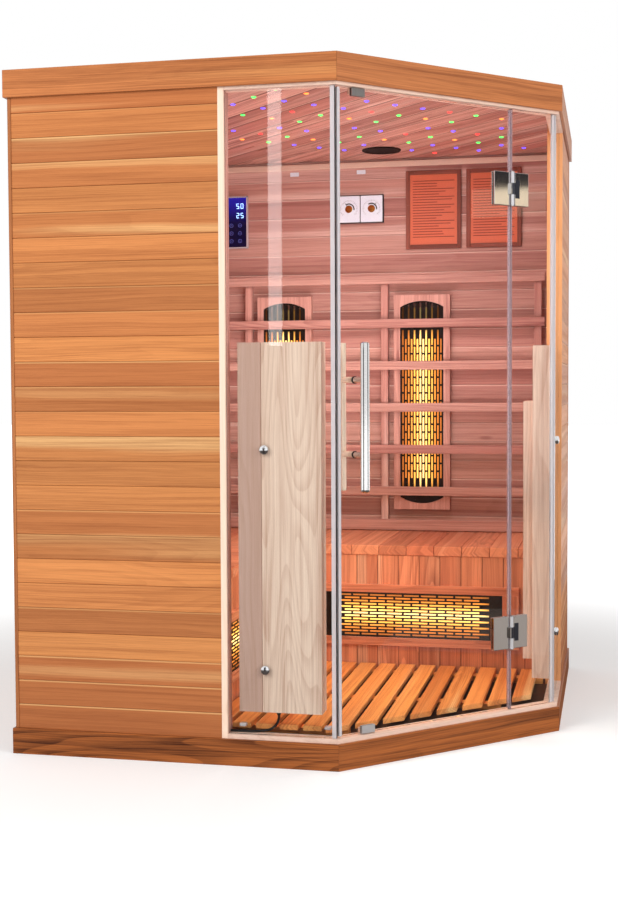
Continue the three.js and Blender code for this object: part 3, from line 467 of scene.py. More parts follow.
def woodMaterial(name, palette, axes=None, pitch=None, start=0.0, contrast=0.5, variety=0.6, gloss=0.05, groove=0.0,
                 grooveShade=0.4, split=None, arches=0.4, catch=0.0, lining=None):
    # axes: (along, across, deep) directions on Object coordinates, or None to follow the piece's own uv and tone
    # lining: palette, outward direction, distance and contrast for a panel whose inner face is another wood
    material, tree, shader = newMaterial(name)
    shades, depth, tone = palettes[palette], contrast, 0.5
    if axes is None:
        place = ownUv(tree)
        tone = addNode(tree, "Attribute", attribute_name="tone")["Fac"]
    else:
        coords = objectCoords(tree)
        levels = [dot(coords, axis) for axis in axes]
        place = combine(*levels)
    if lining:
        within = maths("LESS_THAN", dot(coords, lining["outward"]), lining["middle"])
        inner = palettes[lining["palette"]]
        shades = {key: mixColours(within, shades[key], inner[key]) for key in shades}
        depth = maths("MULTIPLY_ADD", within, lining["contrast"] - contrast, contrast)
    if split:
        tone = maths("LESS_THAN" if split[1] > 0 else "GREATER_THAN", levels[1], split[0])
    if pitch:
        step = maths("DIVIDE", maths("SUBTRACT", levels[1], start), pitch)
        tone = chance(maths("ADD", maths("FLOOR", step), plankJoint["firstPlank"]))
    figure = linked("Group", dict(Vector=place, Tone=tone, Contrast=depth, Variety=variety, Arches=arches, **shades),
                    node_tree=grainGroup)
    colour = figure["Color"]
    if catch:
        # painted highlight: a pale line under the joint on some planks, where the chamfer would catch the light
        lit = rise(maths("FRACT", step), plankJoint["catchFrom"], plankJoint["catchTo"], 0.0, catch)
        less = plankJoint["rarityInside"] - plankJoint["rarity"]
        some = maths("POWER", tone, maths("MULTIPLY_ADD", within, less, plankJoint["rarity"]))
        colour = mixColours(maths("MULTIPLY", lit, some), colour, shades["Pale"])
    # painted shade: each groove between planks is darkened towards a very dark tone of the wood
    if groove:
        edge = maths("ABSOLUTE", maths("SUBTRACT", maths("FRACT", step), 0.5))
        joint = rise(edge, 0.5 - groove / pitch, 0.5)
        grooveShadeColour = tuple(plankJoint["shadeDarkness"] * c for c in palettes[palette]["Dark"][:3]) + (1,)
        colour = mixColours(maths("MULTIPLY", joint, grooveShade), colour, grooveShadeColour)
    feed(shader, {"Base Color": colour, "Roughness": figure["Roughness"], "Coat Weight": gloss, **woodFinish})
    bumpUp(shader, figure["Height"], **woodBump)
    return material


def makeWearGroup():
    # fine handling marks: cloudy noise for roughness and a faint tint
    g, inp, out = newGroup("handlingMarks", dict(Scale=30.0, Base=0.3, Spread=0.15),
                           dict(Roughness="Float", Mask="Float"))
    cloud = noise(objectCoords(g), inp["Scale"], 4.0, 0.6)
    rough = maths("MULTIPLY_ADD", maths("SUBTRACT", cloud, 0.5), inp["Spread"], inp["Base"])
    feed(out, dict(Mask=cloud, Roughness=rough))
    return g


wearGroup = makeWearGroup()
wearDeep = 0.3 * mm


def plainMaterial(name, rgb, rough=0.4, spread=0.15, scale=30.0, metal=0.0, shade=0.85, coat=0.0, bump=0.0,
                  emission=None, strength=0.0, clear=0.0):
    # one finish with cloudy roughness and a slight change of colour
    material, tree, shader = newMaterial(name)
    colour = srgb(*rgb)
    marks = addNode(tree, "Group", dict(Scale=scale, Base=rough, Spread=spread), node_tree=wearGroup)
    darker = tuple(c * shade for c in colour[:3]) + (1,)
    feed(shader, {"Base Color": mixColours(marks["Mask"], darker, colour), "Roughness": marks["Roughness"],
                  "Metallic": metal, "Coat Weight": coat, "Transmission Weight": clear})
    if bump:
        bumpUp(shader, marks["Mask"], bump, wearDeep)
    if emission:
        feed(shader, {"Emission Color": srgb(*emission), "Emission Strength": strength})
    return material


brushing = dict(detail=3.0, rough=0.7, spread=0.06, bump=dict(strength=0.06, distance=0.2 * mm))


def steelMaterial(name, along, dim, bright, rough):
    # polished steel with faint brushing: noise stretched along one direction
    material, tree, shader = newMaterial(name)
    mapped = addNode(tree, "Mapping", dict(Vector=objectCoords(tree), Scale=along))[0]
    brush = noise(mapped, 1.0, brushing["detail"], brushing["rough"])
    feed(shader, {"Base Color": mixColours(brush, srgb(*dim), srgb(*bright)), "Metallic": 1.0,
                  "Roughness": maths("MULTIPLY_ADD", brush, brushing["spread"], rough)})
    bumpUp(shader, brush, **brushing["bump"])
    return material


pane = dict(smearScale=2.5, smearDetail=3.0, smear=0.012, bend=1.45)


def glassMaterial(name, tint, shadowTint):
    # clear glass with faint smears that lets shadow rays through
    material, tree, shader = newMaterial(name)
    smear = noise(objectCoords(tree), pane["smearScale"], pane["smearDetail"])
    feed(shader, {"Base Color": tint, "Roughness": maths("MULTIPLY", smear, pane["smear"]), "IOR": pane["bend"],
                  "Transmission Weight": 1.0})
    clearWhere(shader, addNode(tree, "LightPath")["Is Shadow Ray"], shadowTint)
    return material


woodBoards = woodMaterial("cedarBoards", "rim", contrast=0.75, arches=0.06, gloss=0.02)
woodInner = woodMaterial("cedarInside", "inner", contrast=0.75)
woodBench = woodMaterial("cedarBench", "bench", contrast=0.65, variety=0.8)
woodPlinth = woodMaterial("plinthBoards", "plinth", contrast=0.85, variety=0.3)
woodSlats = woodMaterial("duckboardSlats", "slats", contrast=0.75, variety=0.9, gloss=0.12)
woodPale = woodMaterial("paleHemlock", "pale", contrast=0.4)
woodGrip = woodMaterial("gripWood", "cream")
steel = steelMaterial("polishedSteel", (900, 900, 30), (206, 202, 198), (236, 234, 232), 0.02)
steelSatin = steelMaterial("satinSteel", (900, 900, 30), (158, 152, 148), (206, 200, 196), 0.3)
steelBar = steelMaterial("polishedBar", (60, 60, 900), (206, 204, 204), (240, 239, 238), 0.05)
darkSteel = plainMaterial("darkSteel", (62, 62, 70), rough=0.3, metal=0.6)
chrome = plainMaterial("chromeCaps", (244, 244, 246), rough=0.16, spread=0.08, metal=1.0)
glass = glassMaterial("clearGlass", (0.985, 1.0, 0.995, 1), (0.93, 0.96, 0.95, 1))
sealMaterial = plainMaterial("clearSeal", (244, 242, 246), rough=0.2, shade=0.95, clear=0.48)
gapMaterial = plainMaterial("gapSeal", (224, 206, 214), rough=0.15, shade=0.92, clear=0.75)
black = plainMaterial("blackStoved", (14, 11, 10), rough=0.6, bump=0.1)
print("materials made")

# supply lead of the left column: along the sill from the jamb, then up into the gland
lead = dict(diameter=7 * mm, sides=20, steps=8, route=(
    (-120.7, -708, 88.8), (-108.7, -708, 88.8), (-80.7, -707, 88.8), (-50.7, -706, 89.3), (-10, -699.85, 94.8),
    (7, -691.7, 110.8), (12, -691.7, 125.7), (12, -691.7, 133.4)))
# the gland's profile in shares of its radius and height
gland = dict(sides=28, profile=((0.62, 0), (0.7, 0.35), (1, 0.4), (1, 0.92), (0.9, 1)))


def smoothRoute(points, steps):
    # centripetal curve through the points: each stretch blends lines through four neighbours
    p = np.array(points, float) * mm
    p = np.concatenate([[2 * p[0] - p[1]], p, [2 * p[-1] - p[-2]]])
    out = []
    for i in range(1, len(p) - 2):
        k = np.concatenate([[0], np.cumsum(np.linalg.norm(np.diff(p[i - 1:i + 3], axis=0), axis=1) ** 0.5)])
        t = np.linspace(k[1], k[2], steps, endpoint=False)[:, None]

        def blend(start, end, a, b):
            return (end - t) / (end - start) * a + (t - start) / (end - start) * b

        a = [blend(k[j], k[j + 1], p[i - 1 + j], p[i + j]) for j in range(3)]
        b = [blend(k[j], k[j + 2], a[j], a[j + 1]) for j in range(2)]
        out.append(blend(k[1], k[2], b[0], b[1]))
    return np.concatenate(out + [p[-2:-1]])


def tube(route, radius, sides):
    # a circle carried along the route, square to it
    tangent = np.gradient(route, axis=0)
    tangent /= np.linalg.norm(tangent, axis=1, keepdims=True)
    sideways = np.cross(tangent, (0.0, 1.0, 0.0))
    sideways /= np.linalg.norm(sideways, axis=1, keepdims=True)
    upward = np.cross(sideways, tangent)
    ring = circle(radius, sides)[None, :, :, None]
    points = route[:, None] + ring[:, :, 0] * sideways[:, None] + ring[:, :, 1] * upward[:, None]
    turn = np.linspace(0, 2 * math.pi, sides, endpoint=False)
    uv = np.c_[np.repeat(walkAlong(route), sides), np.tile(turn, len(route))]
    return points.reshape(-1, 3), tubeFaces(len(route), sides), uv, 0.5


route = smoothRoute(lead["route"], lead["steps"])
sheath = plainMaterial("leadSheath", (24, 24, 26), rough=0.5, scale=120, bump=0.1)
leadPiece = makePiece("lead_sheath", [tube(route, lead["diameter"] / 2, lead["sides"])], sheath,
                      replaced=["lead"])
low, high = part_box("lead_gland")
wide, tall = (high.x - low.x) / 2, high.z - low.z
profile = [(0, 0)] + [(r * wide, h * tall) for r, h in gland["profile"]] + [(0, tall)]
glandAt = Matrix.Translation(((low.x + high.x) / 2, (low.y + high.y) / 2, low.z))
glandPiece = makePiece("gland_body", [lathe(profile, gland["sides"], glandAt)], sheath,
                       replaced=["lead_gland"])
print("lead laid")


# CAD nodes that keep their shape
def setMaterial(node, material):
    nodes[node].data.materials.clear()
    nodes[node].data.materials.append(material)


# wall planks, with a painted highlight under some joints and painted shade in the grooves
cladding = dict(count=26, groove=1.4 * mm, catch=0.6, variety=0.85, arches=0.15, contrast=0.58,
                middle=0.695, innerContrast=0.62)
low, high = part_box("wall_back")
plankPitch = (high.z - low.z) / cladding["count"]
for wall, along, outward in (("front", xAxis, (0, -1, 0)), ("back", xAxis, yAxis), ("left", yAxis, (-1, 0, 0)),
                             ("right", yAxis, xAxis)):
    setMaterial(f"wall_{wall}", woodMaterial(
        f"cedarWall_{wall}", "outer", (along, zAxis, outward), plankPitch, low.z, gloss=0.0,
        **{key: cladding[key] for key in ("groove", "catch", "variety", "arches", "contrast")},
        lining=dict(palette="inner", outward=outward, middle=cladding["middle"], contrast=cladding["innerContrast"])))
# ceiling planks, with a painted highlight under some joints and strong painted shade in the grooves
ceilingPlank = dict(pitch=3.0 / 33, start=-1.5, groove=5 * mm, catch=0.8, grooveShade=0.9, lining=6 * mm)
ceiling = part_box("roof_panel")[0].z
setMaterial("roof_panel", woodMaterial(
    "roofPlanks", "outer", (outOfDoor, alongDoor, zAxis), ceilingPlank["pitch"], ceilingPlank["start"], contrast=0.6,
    variety=1.0, groove=ceilingPlank["groove"], grooveShade=ceilingPlank["grooveShade"], catch=ceilingPlank["catch"],
    lining=dict(palette="ceiling", outward=zAxis, middle=ceiling + ceilingPlank["lining"], contrast=0.85)))
setMaterial("floor_panel", plainMaterial("floorBoard", (70, 48, 36), rough=0.6))
jambEdge = dict(left=0.731, right=0.69)
for side, front, across, outward in (("left", "cream", xAxis, (0, -1, 0)), ("right", "edge", yAxis, xAxis)):
    setMaterial(f"jamb_{side}", woodMaterial(
        f"jamb_{side}", front, (zAxis, across, outward), contrast=0.3,
        lining=dict(palette="inner", outward=outward, middle=jambEdge[side], contrast=0.6)))
paleLevel = woodMaterial("paleLevel", "pale", (alongDoor, zAxis, outOfDoor), contrast=0.4)
for node, material in (("head_rail", paleLevel), ("sill", paleLevel), ("glass_left", glass), ("glass_right", glass),
                       ("glass_hinge_side", glass), ("door_glass", glass), ("strike_clip_top", steelSatin)):
    setMaterial(node, material)
setMaterial("strike_clip_bottom", plainMaterial("clipSteel", (202, 198, 198), rough=0.3, metal=0.4))
column = dict(strip=65 * mm, contrast=0.75, variety=0.9, arches=0.5)
columnLeftEdge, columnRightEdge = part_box("column_left")[0].x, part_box("column_right")[1].y
for side, across, deep, split in (("left", xAxis, yAxis, (columnLeftEdge + column["strip"], 1)),
                                  ("right", yAxis, xAxis, (columnRightEdge - column["strip"], -1))):
    setMaterial(f"column_{side}", woodMaterial(
        f"column{side.title()}", "pale", (zAxis, across, deep), split=split,
        **{key: column[key] for key in ("contrast", "variety", "arches")}))
# bench front boards, with painted shade in the grooves between them
benchFront = lengths(board=69.57, groove=3)
for side, along, deep, start in (("back", xAxis, yAxis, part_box("bench_front_back")[0].x),
                                 ("left", yAxis, xAxis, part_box("bench_front_left")[0].y)):
    axes = (zAxis, along, deep)
    setMaterial(f"bench_front_{side}", woodMaterial(
        f"benchFront_{side}", "bench", axes, benchFront["board"], start, contrast=0.6, variety=0.8, arches=0.5,
        groove=benchFront["groove"], grooveShade=0.6))
    for i in (1, 2):
        setMaterial(f"heater_{side}_{i}_frame", woodMaterial(f"heaterFrame_{side}_{i}", "inner", axes))
print("carried parts finished")


# plinth and cornice: mitred boards round the five sides
def pentagon(inset):
    edge = corner["side"] / 2 - inset
    cut = corner["face"] - corner["side"] / 2 - inset * math.tan(math.pi / 8)
    return np.array([(-edge, -edge), (cut, -edge), (edge, -cut), (edge, edge), (-edge, edge)])


def ringBoards(inset, thick, z0, z1):
    # one board a side, its section a rounded rectangle, its ends on the mitre lines
    outer, inner = pentagon(inset), pentagon(inset + thick)
    section = roundedOutline(thick / 2, (z1 - z0) / 2, edging["round"], 3)
    shareIn = (section[:, :1] + thick / 2) / thick
    count = len(section)
    shapes = []
    for i, j in zip(range(5), (1, 2, 3, 4, 0)):
        length = np.linalg.norm(outer[j] - outer[i])
        gap = edging["mitreGap"] * (outer[j] - outer[i]) / length
        ends = [np.c_[outer[k] + shareIn * (inner[k] - outer[k]) + step, section[:, 1] + (z0 + z1) / 2]
                for k, step in ((i, gap), (j, -gap))]
        uv = np.c_[np.repeat([0, length], count), np.tile(walkAlong(section), 2)] + grainShift()
        faces = [block[:, ::-1] for block in tubeFaces(2, count)]
        shapes.append((np.concatenate(ends), faces, uv, seed.random()))
    return shapes


edging = lengths(plinthThick=20, plinthInset=2.5, corniceThick=9.7, round=1.6, mitreGap=0.25)
low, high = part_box("plinth")
makePiece("plinth_boards", ringBoards(edging["plinthInset"], edging["plinthThick"], low.z, high.z), woodPlinth,
          replaced=["plinth"])
low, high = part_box("cornice")
makePiece("cornice_boards", ringBoards(0, edging["corniceThick"], low.z, high.z), woodBoards,
          replaced=["cornice"])

# corner strips that close the ends of the outer cladding
strip = lengths(width=10, proud=1.6)
wallTop = low.z
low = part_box("wall_front")[0]
makePiece("corner_strips", [
    board((low.x, low.y - strip["proud"], low.z), (low.x + strip["width"], low.y, wallTop), 2),
    board((-low.y, -low.x - strip["width"], low.z), (-low.y + strip["proud"], -low.x, wallTop), 2)],
    woodBoards)
print("outer boards made")

# bench seats: short boards from wall to front, with round edges
seat = lengths(board=92, gap=0.6, round=3)
for side, axis, across in (("back", 1, 0), ("left", 0, 1)):
    low, high = boxArrays(f"bench_seat_{side}")
    count = round((high[across] - low[across]) / seat["board"])
    edges = np.linspace(low[across], high[across], count + 1)
    shapes = [board(*spanned(low, high, {across: (a + seat["gap"] / 2, b - seat["gap"] / 2)}), axis, seat["round"])
              for a, b in zip(edges[:-1], edges[1:])]
    makePiece(f"bench_seat_boards_{side}", shapes, woodBench, replaced=[f"bench_seat_{side}"])

# backrests: rails and slats on uprights
slats = dict(count=5, **lengths(first=646, pitch=152.5, height=32, thick=16, round=3, bottomHigh=39, topHigh=32,
                                batten=26, fromHeater=34, lap=0.5))
for side, along, deep, inward in (("back", 0, 1, -1), ("left", 1, 0, 1)):
    low, high = boxArrays(f"backrest_{side}")
    faceAt, wallAt = (low[deep], high[deep]) if inward < 0 else (high[deep], low[deep])
    seatOf = faceAt - inward * slats["thick"]
    first = slats["first"] - slats["height"] / 2
    rows = [(low[2], slats["bottomHigh"]), (high[2] - slats["topHigh"], slats["topHigh"])]
    rows += [(first + i * slats["pitch"], slats["height"]) for i in range(slats["count"])]
    shapes = [board(*spanned(low, high, {2: (z, z + tall), deep: (faceAt, seatOf)}), along, slats["round"])
              for z, tall in rows]
    heaters = [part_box(f"heater_{side}_{i}_frame") for i in (1, 2)]
    reach, half = slats["fromHeater"], slats["batten"] / 2
    places = [h[0][along] - reach if side == "back" else h[1][along] + reach for h in heaters]
    places += [low[along] + slats["batten"], high[along] - slats["batten"]]
    shapes += [board(*spanned(low, high, {along: (place - half, place + half),
                                          deep: (seatOf - inward * slats["lap"], wallAt)}), 2) for place in places]
    makePiece(f"backrest_slats_{side}", shapes, woodInner, replaced=[f"backrest_{side}"])

# duckboard: slats with round edges on three battens, cut off along the glass
duck = dict(shares=(0.06, 0.5, 0.94),
            **lengths(pitch=66.5, slat=52, thick=15, round=1.6, batten=40, edge=68, lap=0.5, slack=0.1))
low, high = boxArrays("duckboard")
cutLine = corner["face"] - duck["edge"] * root2
count = int((high[0] - low[0] + duck["pitch"] - duck["slat"] + duck["slack"]) / duck["pitch"])
shapes = []
for x in low[0] + np.arange(count) * duck["pitch"]:
    end = x + duck["slat"]
    y = max(low[1], end - cutLine)
    points, faces, uv, tone = board((x, y, high[2] - duck["thick"]), (end, high[1], high[2]), 1, duck["round"])
    if y > low[1]:
        points[:, 1] += np.where(points[:, 1] < y + duck["round"] * 2, points[:, 0] - end, 0)
    shapes.append((points, faces, uv, tone))
for share in duck["shares"]:
    y, half = low[1] + share * (high[1] - low[1]), duck["batten"] / 2
    shapes.append(board((low[0], y - half, low[2]),
                        (min(high[0], cutLine + y - half), y + half, high[2] - duck["thick"] + duck["lap"]), 0))
makePiece("duckboard_slats", shapes, woodSlats, replaced=["duckboard"])
print("benches, backrests and duckboard made")


# heaters: a black sheet with brick-laid slots, bowed ends, and a glowing tube in its reflector, the reflector glowing
# with a painted reflection of the tube
grille = dict(columns=14, share=0.54, **lengths(
    pitch=57, bridge=7, margin=4, sheet=1.5, foot=60, head=105, lyingEnd=34, rise=22, domeBand=24, domeRim=5,
    reflectorDeep=19, reflectorBack=2, reflectorSheet=0.8, clear=1, tube=5.5, tubeBehind=11, tubeEnd=8))
heaterFaces = {"heater_back_1": ("y", -1), "heater_back_2": ("y", -1), "heater_left_1": ("x", 1),
               "heater_left_2": ("x", 1), "calf_heater_back": ("y", -1), "calf_heater_left": ("x", 1),
               "column_left": ("y", 1), "column_right": ("x", -1)}


def heaterFrame(name):
    # local X across the slots, local Y along the tube, local Z out of the wall, origin on the grille's face
    axis, sign = heaterFaces[name]
    low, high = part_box(f"{name}_grille")
    size = high - low
    alongX = axis == "y"
    out = Vector((0, sign, 0) if alongX else (sign, 0, 0))
    wide = size.x if alongX else size.y
    lying = name.startswith("calf")
    along = Vector(zAxis if not lying else xAxis if alongX else yAxis)
    face = (low + high) / 2 + out * (grille["sheet"] / 2)
    width, length = (size.z, wide) if lying else (wide, size.z)
    return basis(face, along.cross(out), along, out), width, length, 0.0 if lying else grille["rise"]


def archStrip(x0, x1, start, width, length, rise, drop=0.0):
    # upright strip of the sheet's end: level below, the bow's arc above, both as arrays over x
    x = np.linspace(x0, x1, 9)
    radius = (width * width / 4 + rise * rise) / (2 * rise) if rise else 1.0
    top = length / 2 - (radius - np.sqrt(radius * radius - x * x) if rise else 0 * x)
    foot = top - drop if drop else np.full(9, start)
    return np.concatenate([np.c_[x, foot], np.c_[x[::-1], top[::-1]]])


# colours, end fade and cloudiness of the glow; on the trough it is painted reflection of the tube
amber = dict(stops=((0.0, (1.0, 0.74, 0.3, 1)), (1.0, (0.2, 0.05, 0.01, 1)), (0.3, (1.0, 0.52, 0.1, 1)),
                    (0.6, (0.62, 0.2, 0.03, 1))),
             ends=(0.88, 1.1, 1.0, 0.12), cloud=(22.0, 3.0), swing=0.6, least=0.7, strength=1.75, rough=0.35)


def makeTubeGlowAndPaintedReflection(a):
    # amber light: the tube's own glow, and on the reflector a painted reflection of it: hot on the tube and the middle
    # of the reflector, dull red at its edges and ends
    material, tree, shader = newMaterial("amberTubeGlowAndPaintedReflection")
    across, along = parts(ownUv(tree))[:2]
    ramp = linked("ValToRGB", {0: maths("ABSOLUTE", across)})[0]
    stops = ramp.node.color_ramp.elements
    for stop, (position, colour) in zip(stops[:], a["stops"]):
        stop.position, stop.color = position, colour
    for position, colour in a["stops"][2:]:
        stops.new(position).color = colour
    ends = rise(maths("ABSOLUTE", along), *a["ends"])
    cloud = maths("MULTIPLY_ADD", noise(objectCoords(tree), *a["cloud"]), a["swing"], a["least"])
    glow = mixColours(maths("MULTIPLY", ends, cloud), (0, 0, 0, 1), ramp)
    feed(shader, {"Emission Color": glow, "Base Color": glow, "Emission Strength": a["strength"],
                  "Roughness": a["rough"]})
    return material


def slottedSheet(width, length, rise, foot, head, count):
    # bars between columns of slots, bridges at half a pitch from column to column, plain or bowed ends
    t, pitch, bridge, columns = -grille["sheet"], grille["pitch"], grille["bridge"], grille["columns"]
    columnWide = (width - 2 * grille["margin"]) / columns
    half = columnWide * (1 - grille["share"]) / 2
    edges = (np.arange(columns + 1) - columns / 2) * columnWide
    boxes = [((e - half, foot, t), (e + half, head, 0)) for e in edges[1:-1]]
    boxes += [((-width / 2, foot, t), (half - edges[-1], head, 0)),
              ((edges[-1] - half, foot, t), (width / 2, head, 0))]
    gaps = [(a + half, b - half) for a, b in zip(edges[:-1], edges[1:])]
    for column, (a, b) in enumerate(gaps):
        odd = column % 2
        boxes += [((a, c - bridge / 2, t), (b, min(c + bridge / 2, head), 0))
                  for c in foot + (np.arange(1, count) + odd / 2) * pitch]
        if odd:
            boxes += [((a, foot, t), (b, foot + (pitch + bridge) / 2, 0)),
                      ((a, head - (pitch - bridge) / 2, t), (b, head, 0))]

    def end(x0, x1, start, *size):
        return plate(archStrip(x0, x1, start, width, *size), t, 0)

    shapes = [bars(boxes), plate(-archStrip(-width / 2, width / 2, -foot, width, length, rise), t, 0)]
    if not rise:
        return shapes + [end(-width / 2, width / 2, head, length, 0)]
    # the head: a plain band, then long slots in every other column up to a rim under the arc
    band = head + grille["domeBand"]
    solid = [-width / 2] + [x for gap in gaps[::2] for x in gap] + [width / 2]
    shapes.append(end(-width / 2, width / 2, head, 2 * band, 0))
    shapes += [end(a, b, band, length, rise) for a, b in zip(solid[::2], solid[1::2])]
    return shapes + [end(a, b, 0, length, rise, grille["domeRim"]) for a, b in gaps[::2]]


def reflectorAndTube(width, length, rise, foot, head):
    # trough of depth 1 - u to the fourth across, and the tube before it; uv runs -1 to 1 over what glows, the trough's
    # glow being painted reflection of the tube
    u = np.linspace(-1, 1, 25)
    reach, half = length / 2 - rise - grille["clear"], width / 2 - grille["clear"]
    deep = grille["reflectorDeep"] * (1 - u ** 4) + grille["reflectorBack"]
    section = np.r_[np.c_[u * half, -deep], np.c_[u * half, -deep - grille["reflectorSheet"]][::-1]]
    count = len(section)
    middle, lit = (head + foot) / 2, (head - foot) / 2
    points = np.concatenate([np.c_[section[:, 0], np.full(count, y), section[:, 1]] for y in (-reach, reach)])
    uv = np.c_[np.tile(np.r_[u, u[::-1]], 2), (points[:, 1] - middle) / lit]
    end, behind = reach - grille["tubeEnd"], -grille["tubeBehind"]
    tubePoints, tubeBlocks, _, tone = rod((0, -end, behind), (0, end, behind), grille["tube"], 20)
    tubeUv = np.c_[0 * tubePoints[:, 0], (tubePoints[:, 1] - middle) / lit]
    return [(points, tubeFaces(2, count), uv, 0.5), (tubePoints, tubeBlocks, tubeUv, tone)]


tubeGlowAndPaintedReflection = makeTubeGlowAndPaintedReflection(amber)
for name in heaterFaces:
    place, width, length, bow = heaterFrame(name)
    plainEnds = grille["foot"] + grille["head"] if bow else 2 * grille["lyingEnd"]
    count = int((length - plainEnds) / grille["pitch"])
    foot = grille["foot"] - length / 2 if bow else -count * grille["pitch"] / 2
    head = foot + count * grille["pitch"]
    makePiece(f"{name}_slotted_sheet", slottedSheet(width, length, bow, foot, head, count), black,
              replaced=[f"{name}_grille"], smooth=False, place=place)
    makePiece(f"{name}_reflector_and_tube", reflectorAndTube(width, length, bow, foot, head), tubeGlowAndPaintedReflection,
              replaced=[f"{name}_emitter"], place=place)
print("heaters made")

# facing boards round the lying heaters
facing = lengths(wide=27, level=4, proud=2.5, high=204, long=708, round=1)
for side in ("back", "left"):
    a, b, w = facing["high"] / 2, facing["long"] / 2, facing["wide"]
    z0, z1 = facing["level"], facing["level"] + facing["proud"]
    makePiece(f"calf_heater_{side}_facing", frameBoards(-a, a, -b, b, z0, z1, w, 2 * w, facing["round"]), woodBench,
              place=heaterFrame(f"calf_heater_{side}")[0])

# hinges: clamp plates on both faces of the glass, slim knuckles, a pin and a dark cover
hinge = dict(axisAlong=0.611362, axisIn=0.011, **lengths(
    clear=6, plateWide=58, plateHigh=95, front=5, rear=4, round=1.2, knuckle=5.5, gap=0.3, pin=2.9, head=5,
    headThick=2.5, webFrom=3, webLap=2, webDeep=4, webEnd=0.2, webRound=1, lap=1, boltAlong=30, boltUp=25, bolt=5,
    boltCap=6, capSunk=0.5, capProud=2, coverWide=24, coverHigh=26, coverProud=0.8, coverRound=0.8, glassNear=19.7,
    glassFar=28.3))
axisAlong, axisIn, glassNear, glassFar = (hinge[key] for key in ("axisAlong", "axisIn", "glassNear", "glassFar"))
front, rear, lap = glassNear - hinge["front"], glassFar + hinge["rear"], hinge["lap"]


def onAxis(z0, z1, radius, sides=24):
    return rod((axisAlong, axisIn, z0), (axisAlong, axisIn, z1), radius, sides)


for place in ("bottom", "top"):
    low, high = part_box(f"hinge_{place}_fixed_leaf")
    z, half, third, gap = (low.z + high.z) / 2, hinge["plateHigh"] / 2, hinge["plateHigh"] / 6, hinge["gap"]
    for leaf, sign, body in (("fixed_leaf", 1, "cabin"), ("door_leaf", -1, "door")):
        near = axisAlong + sign * hinge["clear"]
        a, b = sorted((near, near + sign * hinge["plateWide"]))
        shapes = [board((a, y0, z - half), (b, y1, z + half), 2, hinge["round"], 3)
                  for y0, y1 in ((front, glassNear), (glassFar, rear))]
        for p, q in [(-third, third)] if sign < 0 else [(-half, -third - gap), (third + gap, half)]:
            # the knuckles are polished steel: the fixed leaf's take the pale seal material as a painted highlight, the
            # door leaf's takes dark steel as a painted dark reflection
            makePiece(f"hinge_{place}_{leaf}_knuckle_{p > 0:d}", [onAxis(z + p, z + q, hinge["knuckle"], 36)],
                      sealMaterial if sign > 0 else darkSteel, body, place=doorLine)
            n0, n1 = sorted((axisAlong + sign * hinge["webFrom"], near + sign * hinge["webLap"]))
            shapes.append(board((n0, axisIn - hinge["webDeep"], z + p + hinge["webEnd"]),
                                (n1, glassNear - lap, z + q - hinge["webEnd"]), 2, hinge["webRound"]))
        bolt = axisAlong + sign * hinge["boltAlong"]
        for level in (z - hinge["boltUp"], z + hinge["boltUp"]):
            shapes += [rod((bolt, y0, level), (bolt, y1, level), radius, sides) for y0, y1, radius, sides in (
                (glassNear - lap, glassFar + lap, hinge["bolt"], 20),
                (rear - hinge["capSunk"], rear + hinge["capProud"], hinge["boltCap"], 24))]
        if sign > 0:
            cover = board((a + lap, front - hinge["coverProud"], z - hinge["coverHigh"]),
                          (a + hinge["coverWide"], glassNear - lap, z + hinge["coverHigh"]), 2, hinge["coverRound"])
            makePiece(f"hinge_{place}_cover", [cover], darkSteel, body, place=doorLine)
        makePiece(f"hinge_{place}_{leaf}_steel", shapes, steel, body, [f"hinge_{place}_{leaf}"],
                  place=doorLine)
    foot, top = z - half - gap, z + half + gap
    shapes = [onAxis(foot, top, hinge["pin"]), onAxis(foot - hinge["headThick"], foot, hinge["head"]),
              onAxis(top, top + hinge["headThick"], hinge["head"])]
    makePiece(f"hinge_{place}_pin_steel", shapes, steel, replaced=[f"hinge_{place}_pin"],
              place=doorLine)

# handle bar outside on two posts, wooden grip inside on two more
handle = dict(along=0.066598, z=0.947, half=0.2, posts=0.1, ends=((0.6, 0), (0.93, 0.25), (1, 0.7)), **lengths(
    radius=12.5, out=-30, post=8.5, collar=10, collarThick=4, stud=4, studIn=25, gripIn=78, grip=7, gripRound=2.5,
    gripPost=8))
s, zMid, half, grip, gripIn = (handle[key] for key in ("along", "z", "half", "grip", "gripIn"))
profile = [(0, 0)] + [(r * handle["radius"], h * handle["radius"]) for r, h in handle["ends"]]
profile += [(r, 2 * half - h) for r, h in profile[::-1]]
shapes, collars = [lathe(profile, 40, Matrix.Translation((s, handle["out"], zMid - half)))], []
gripShapes = [board((s - grip, gripIn - grip, zMid - half), (s + grip, gripIn + grip, zMid + half), 2,
                    handle["gripRound"], 4)]
for z in (zMid - handle["posts"], zMid + handle["posts"]):
    shapes.append(rod((s, handle["out"], z), (s, glassNear, z), handle["post"]))
    shapes.append(rod((s, glassNear, z), (s, glassFar + handle["studIn"], z), handle["stud"]))
    collars.append(rod((s, glassNear - handle["collarThick"], z), (s, glassNear, z), handle["collar"], 32))
    gripShapes.append(rod((s, glassFar, z), (s, gripIn, z), handle["gripPost"], 28))
makePiece("handle_bar", shapes, steelBar, "door", ["door_handle"], place=doorLine)
makePiece("handle_collars", collars, black, "door", place=doorLine)
makePiece("inner_grip_bar", gripShapes, woodGrip, "door", ["inner_grip"], place=doorLine)

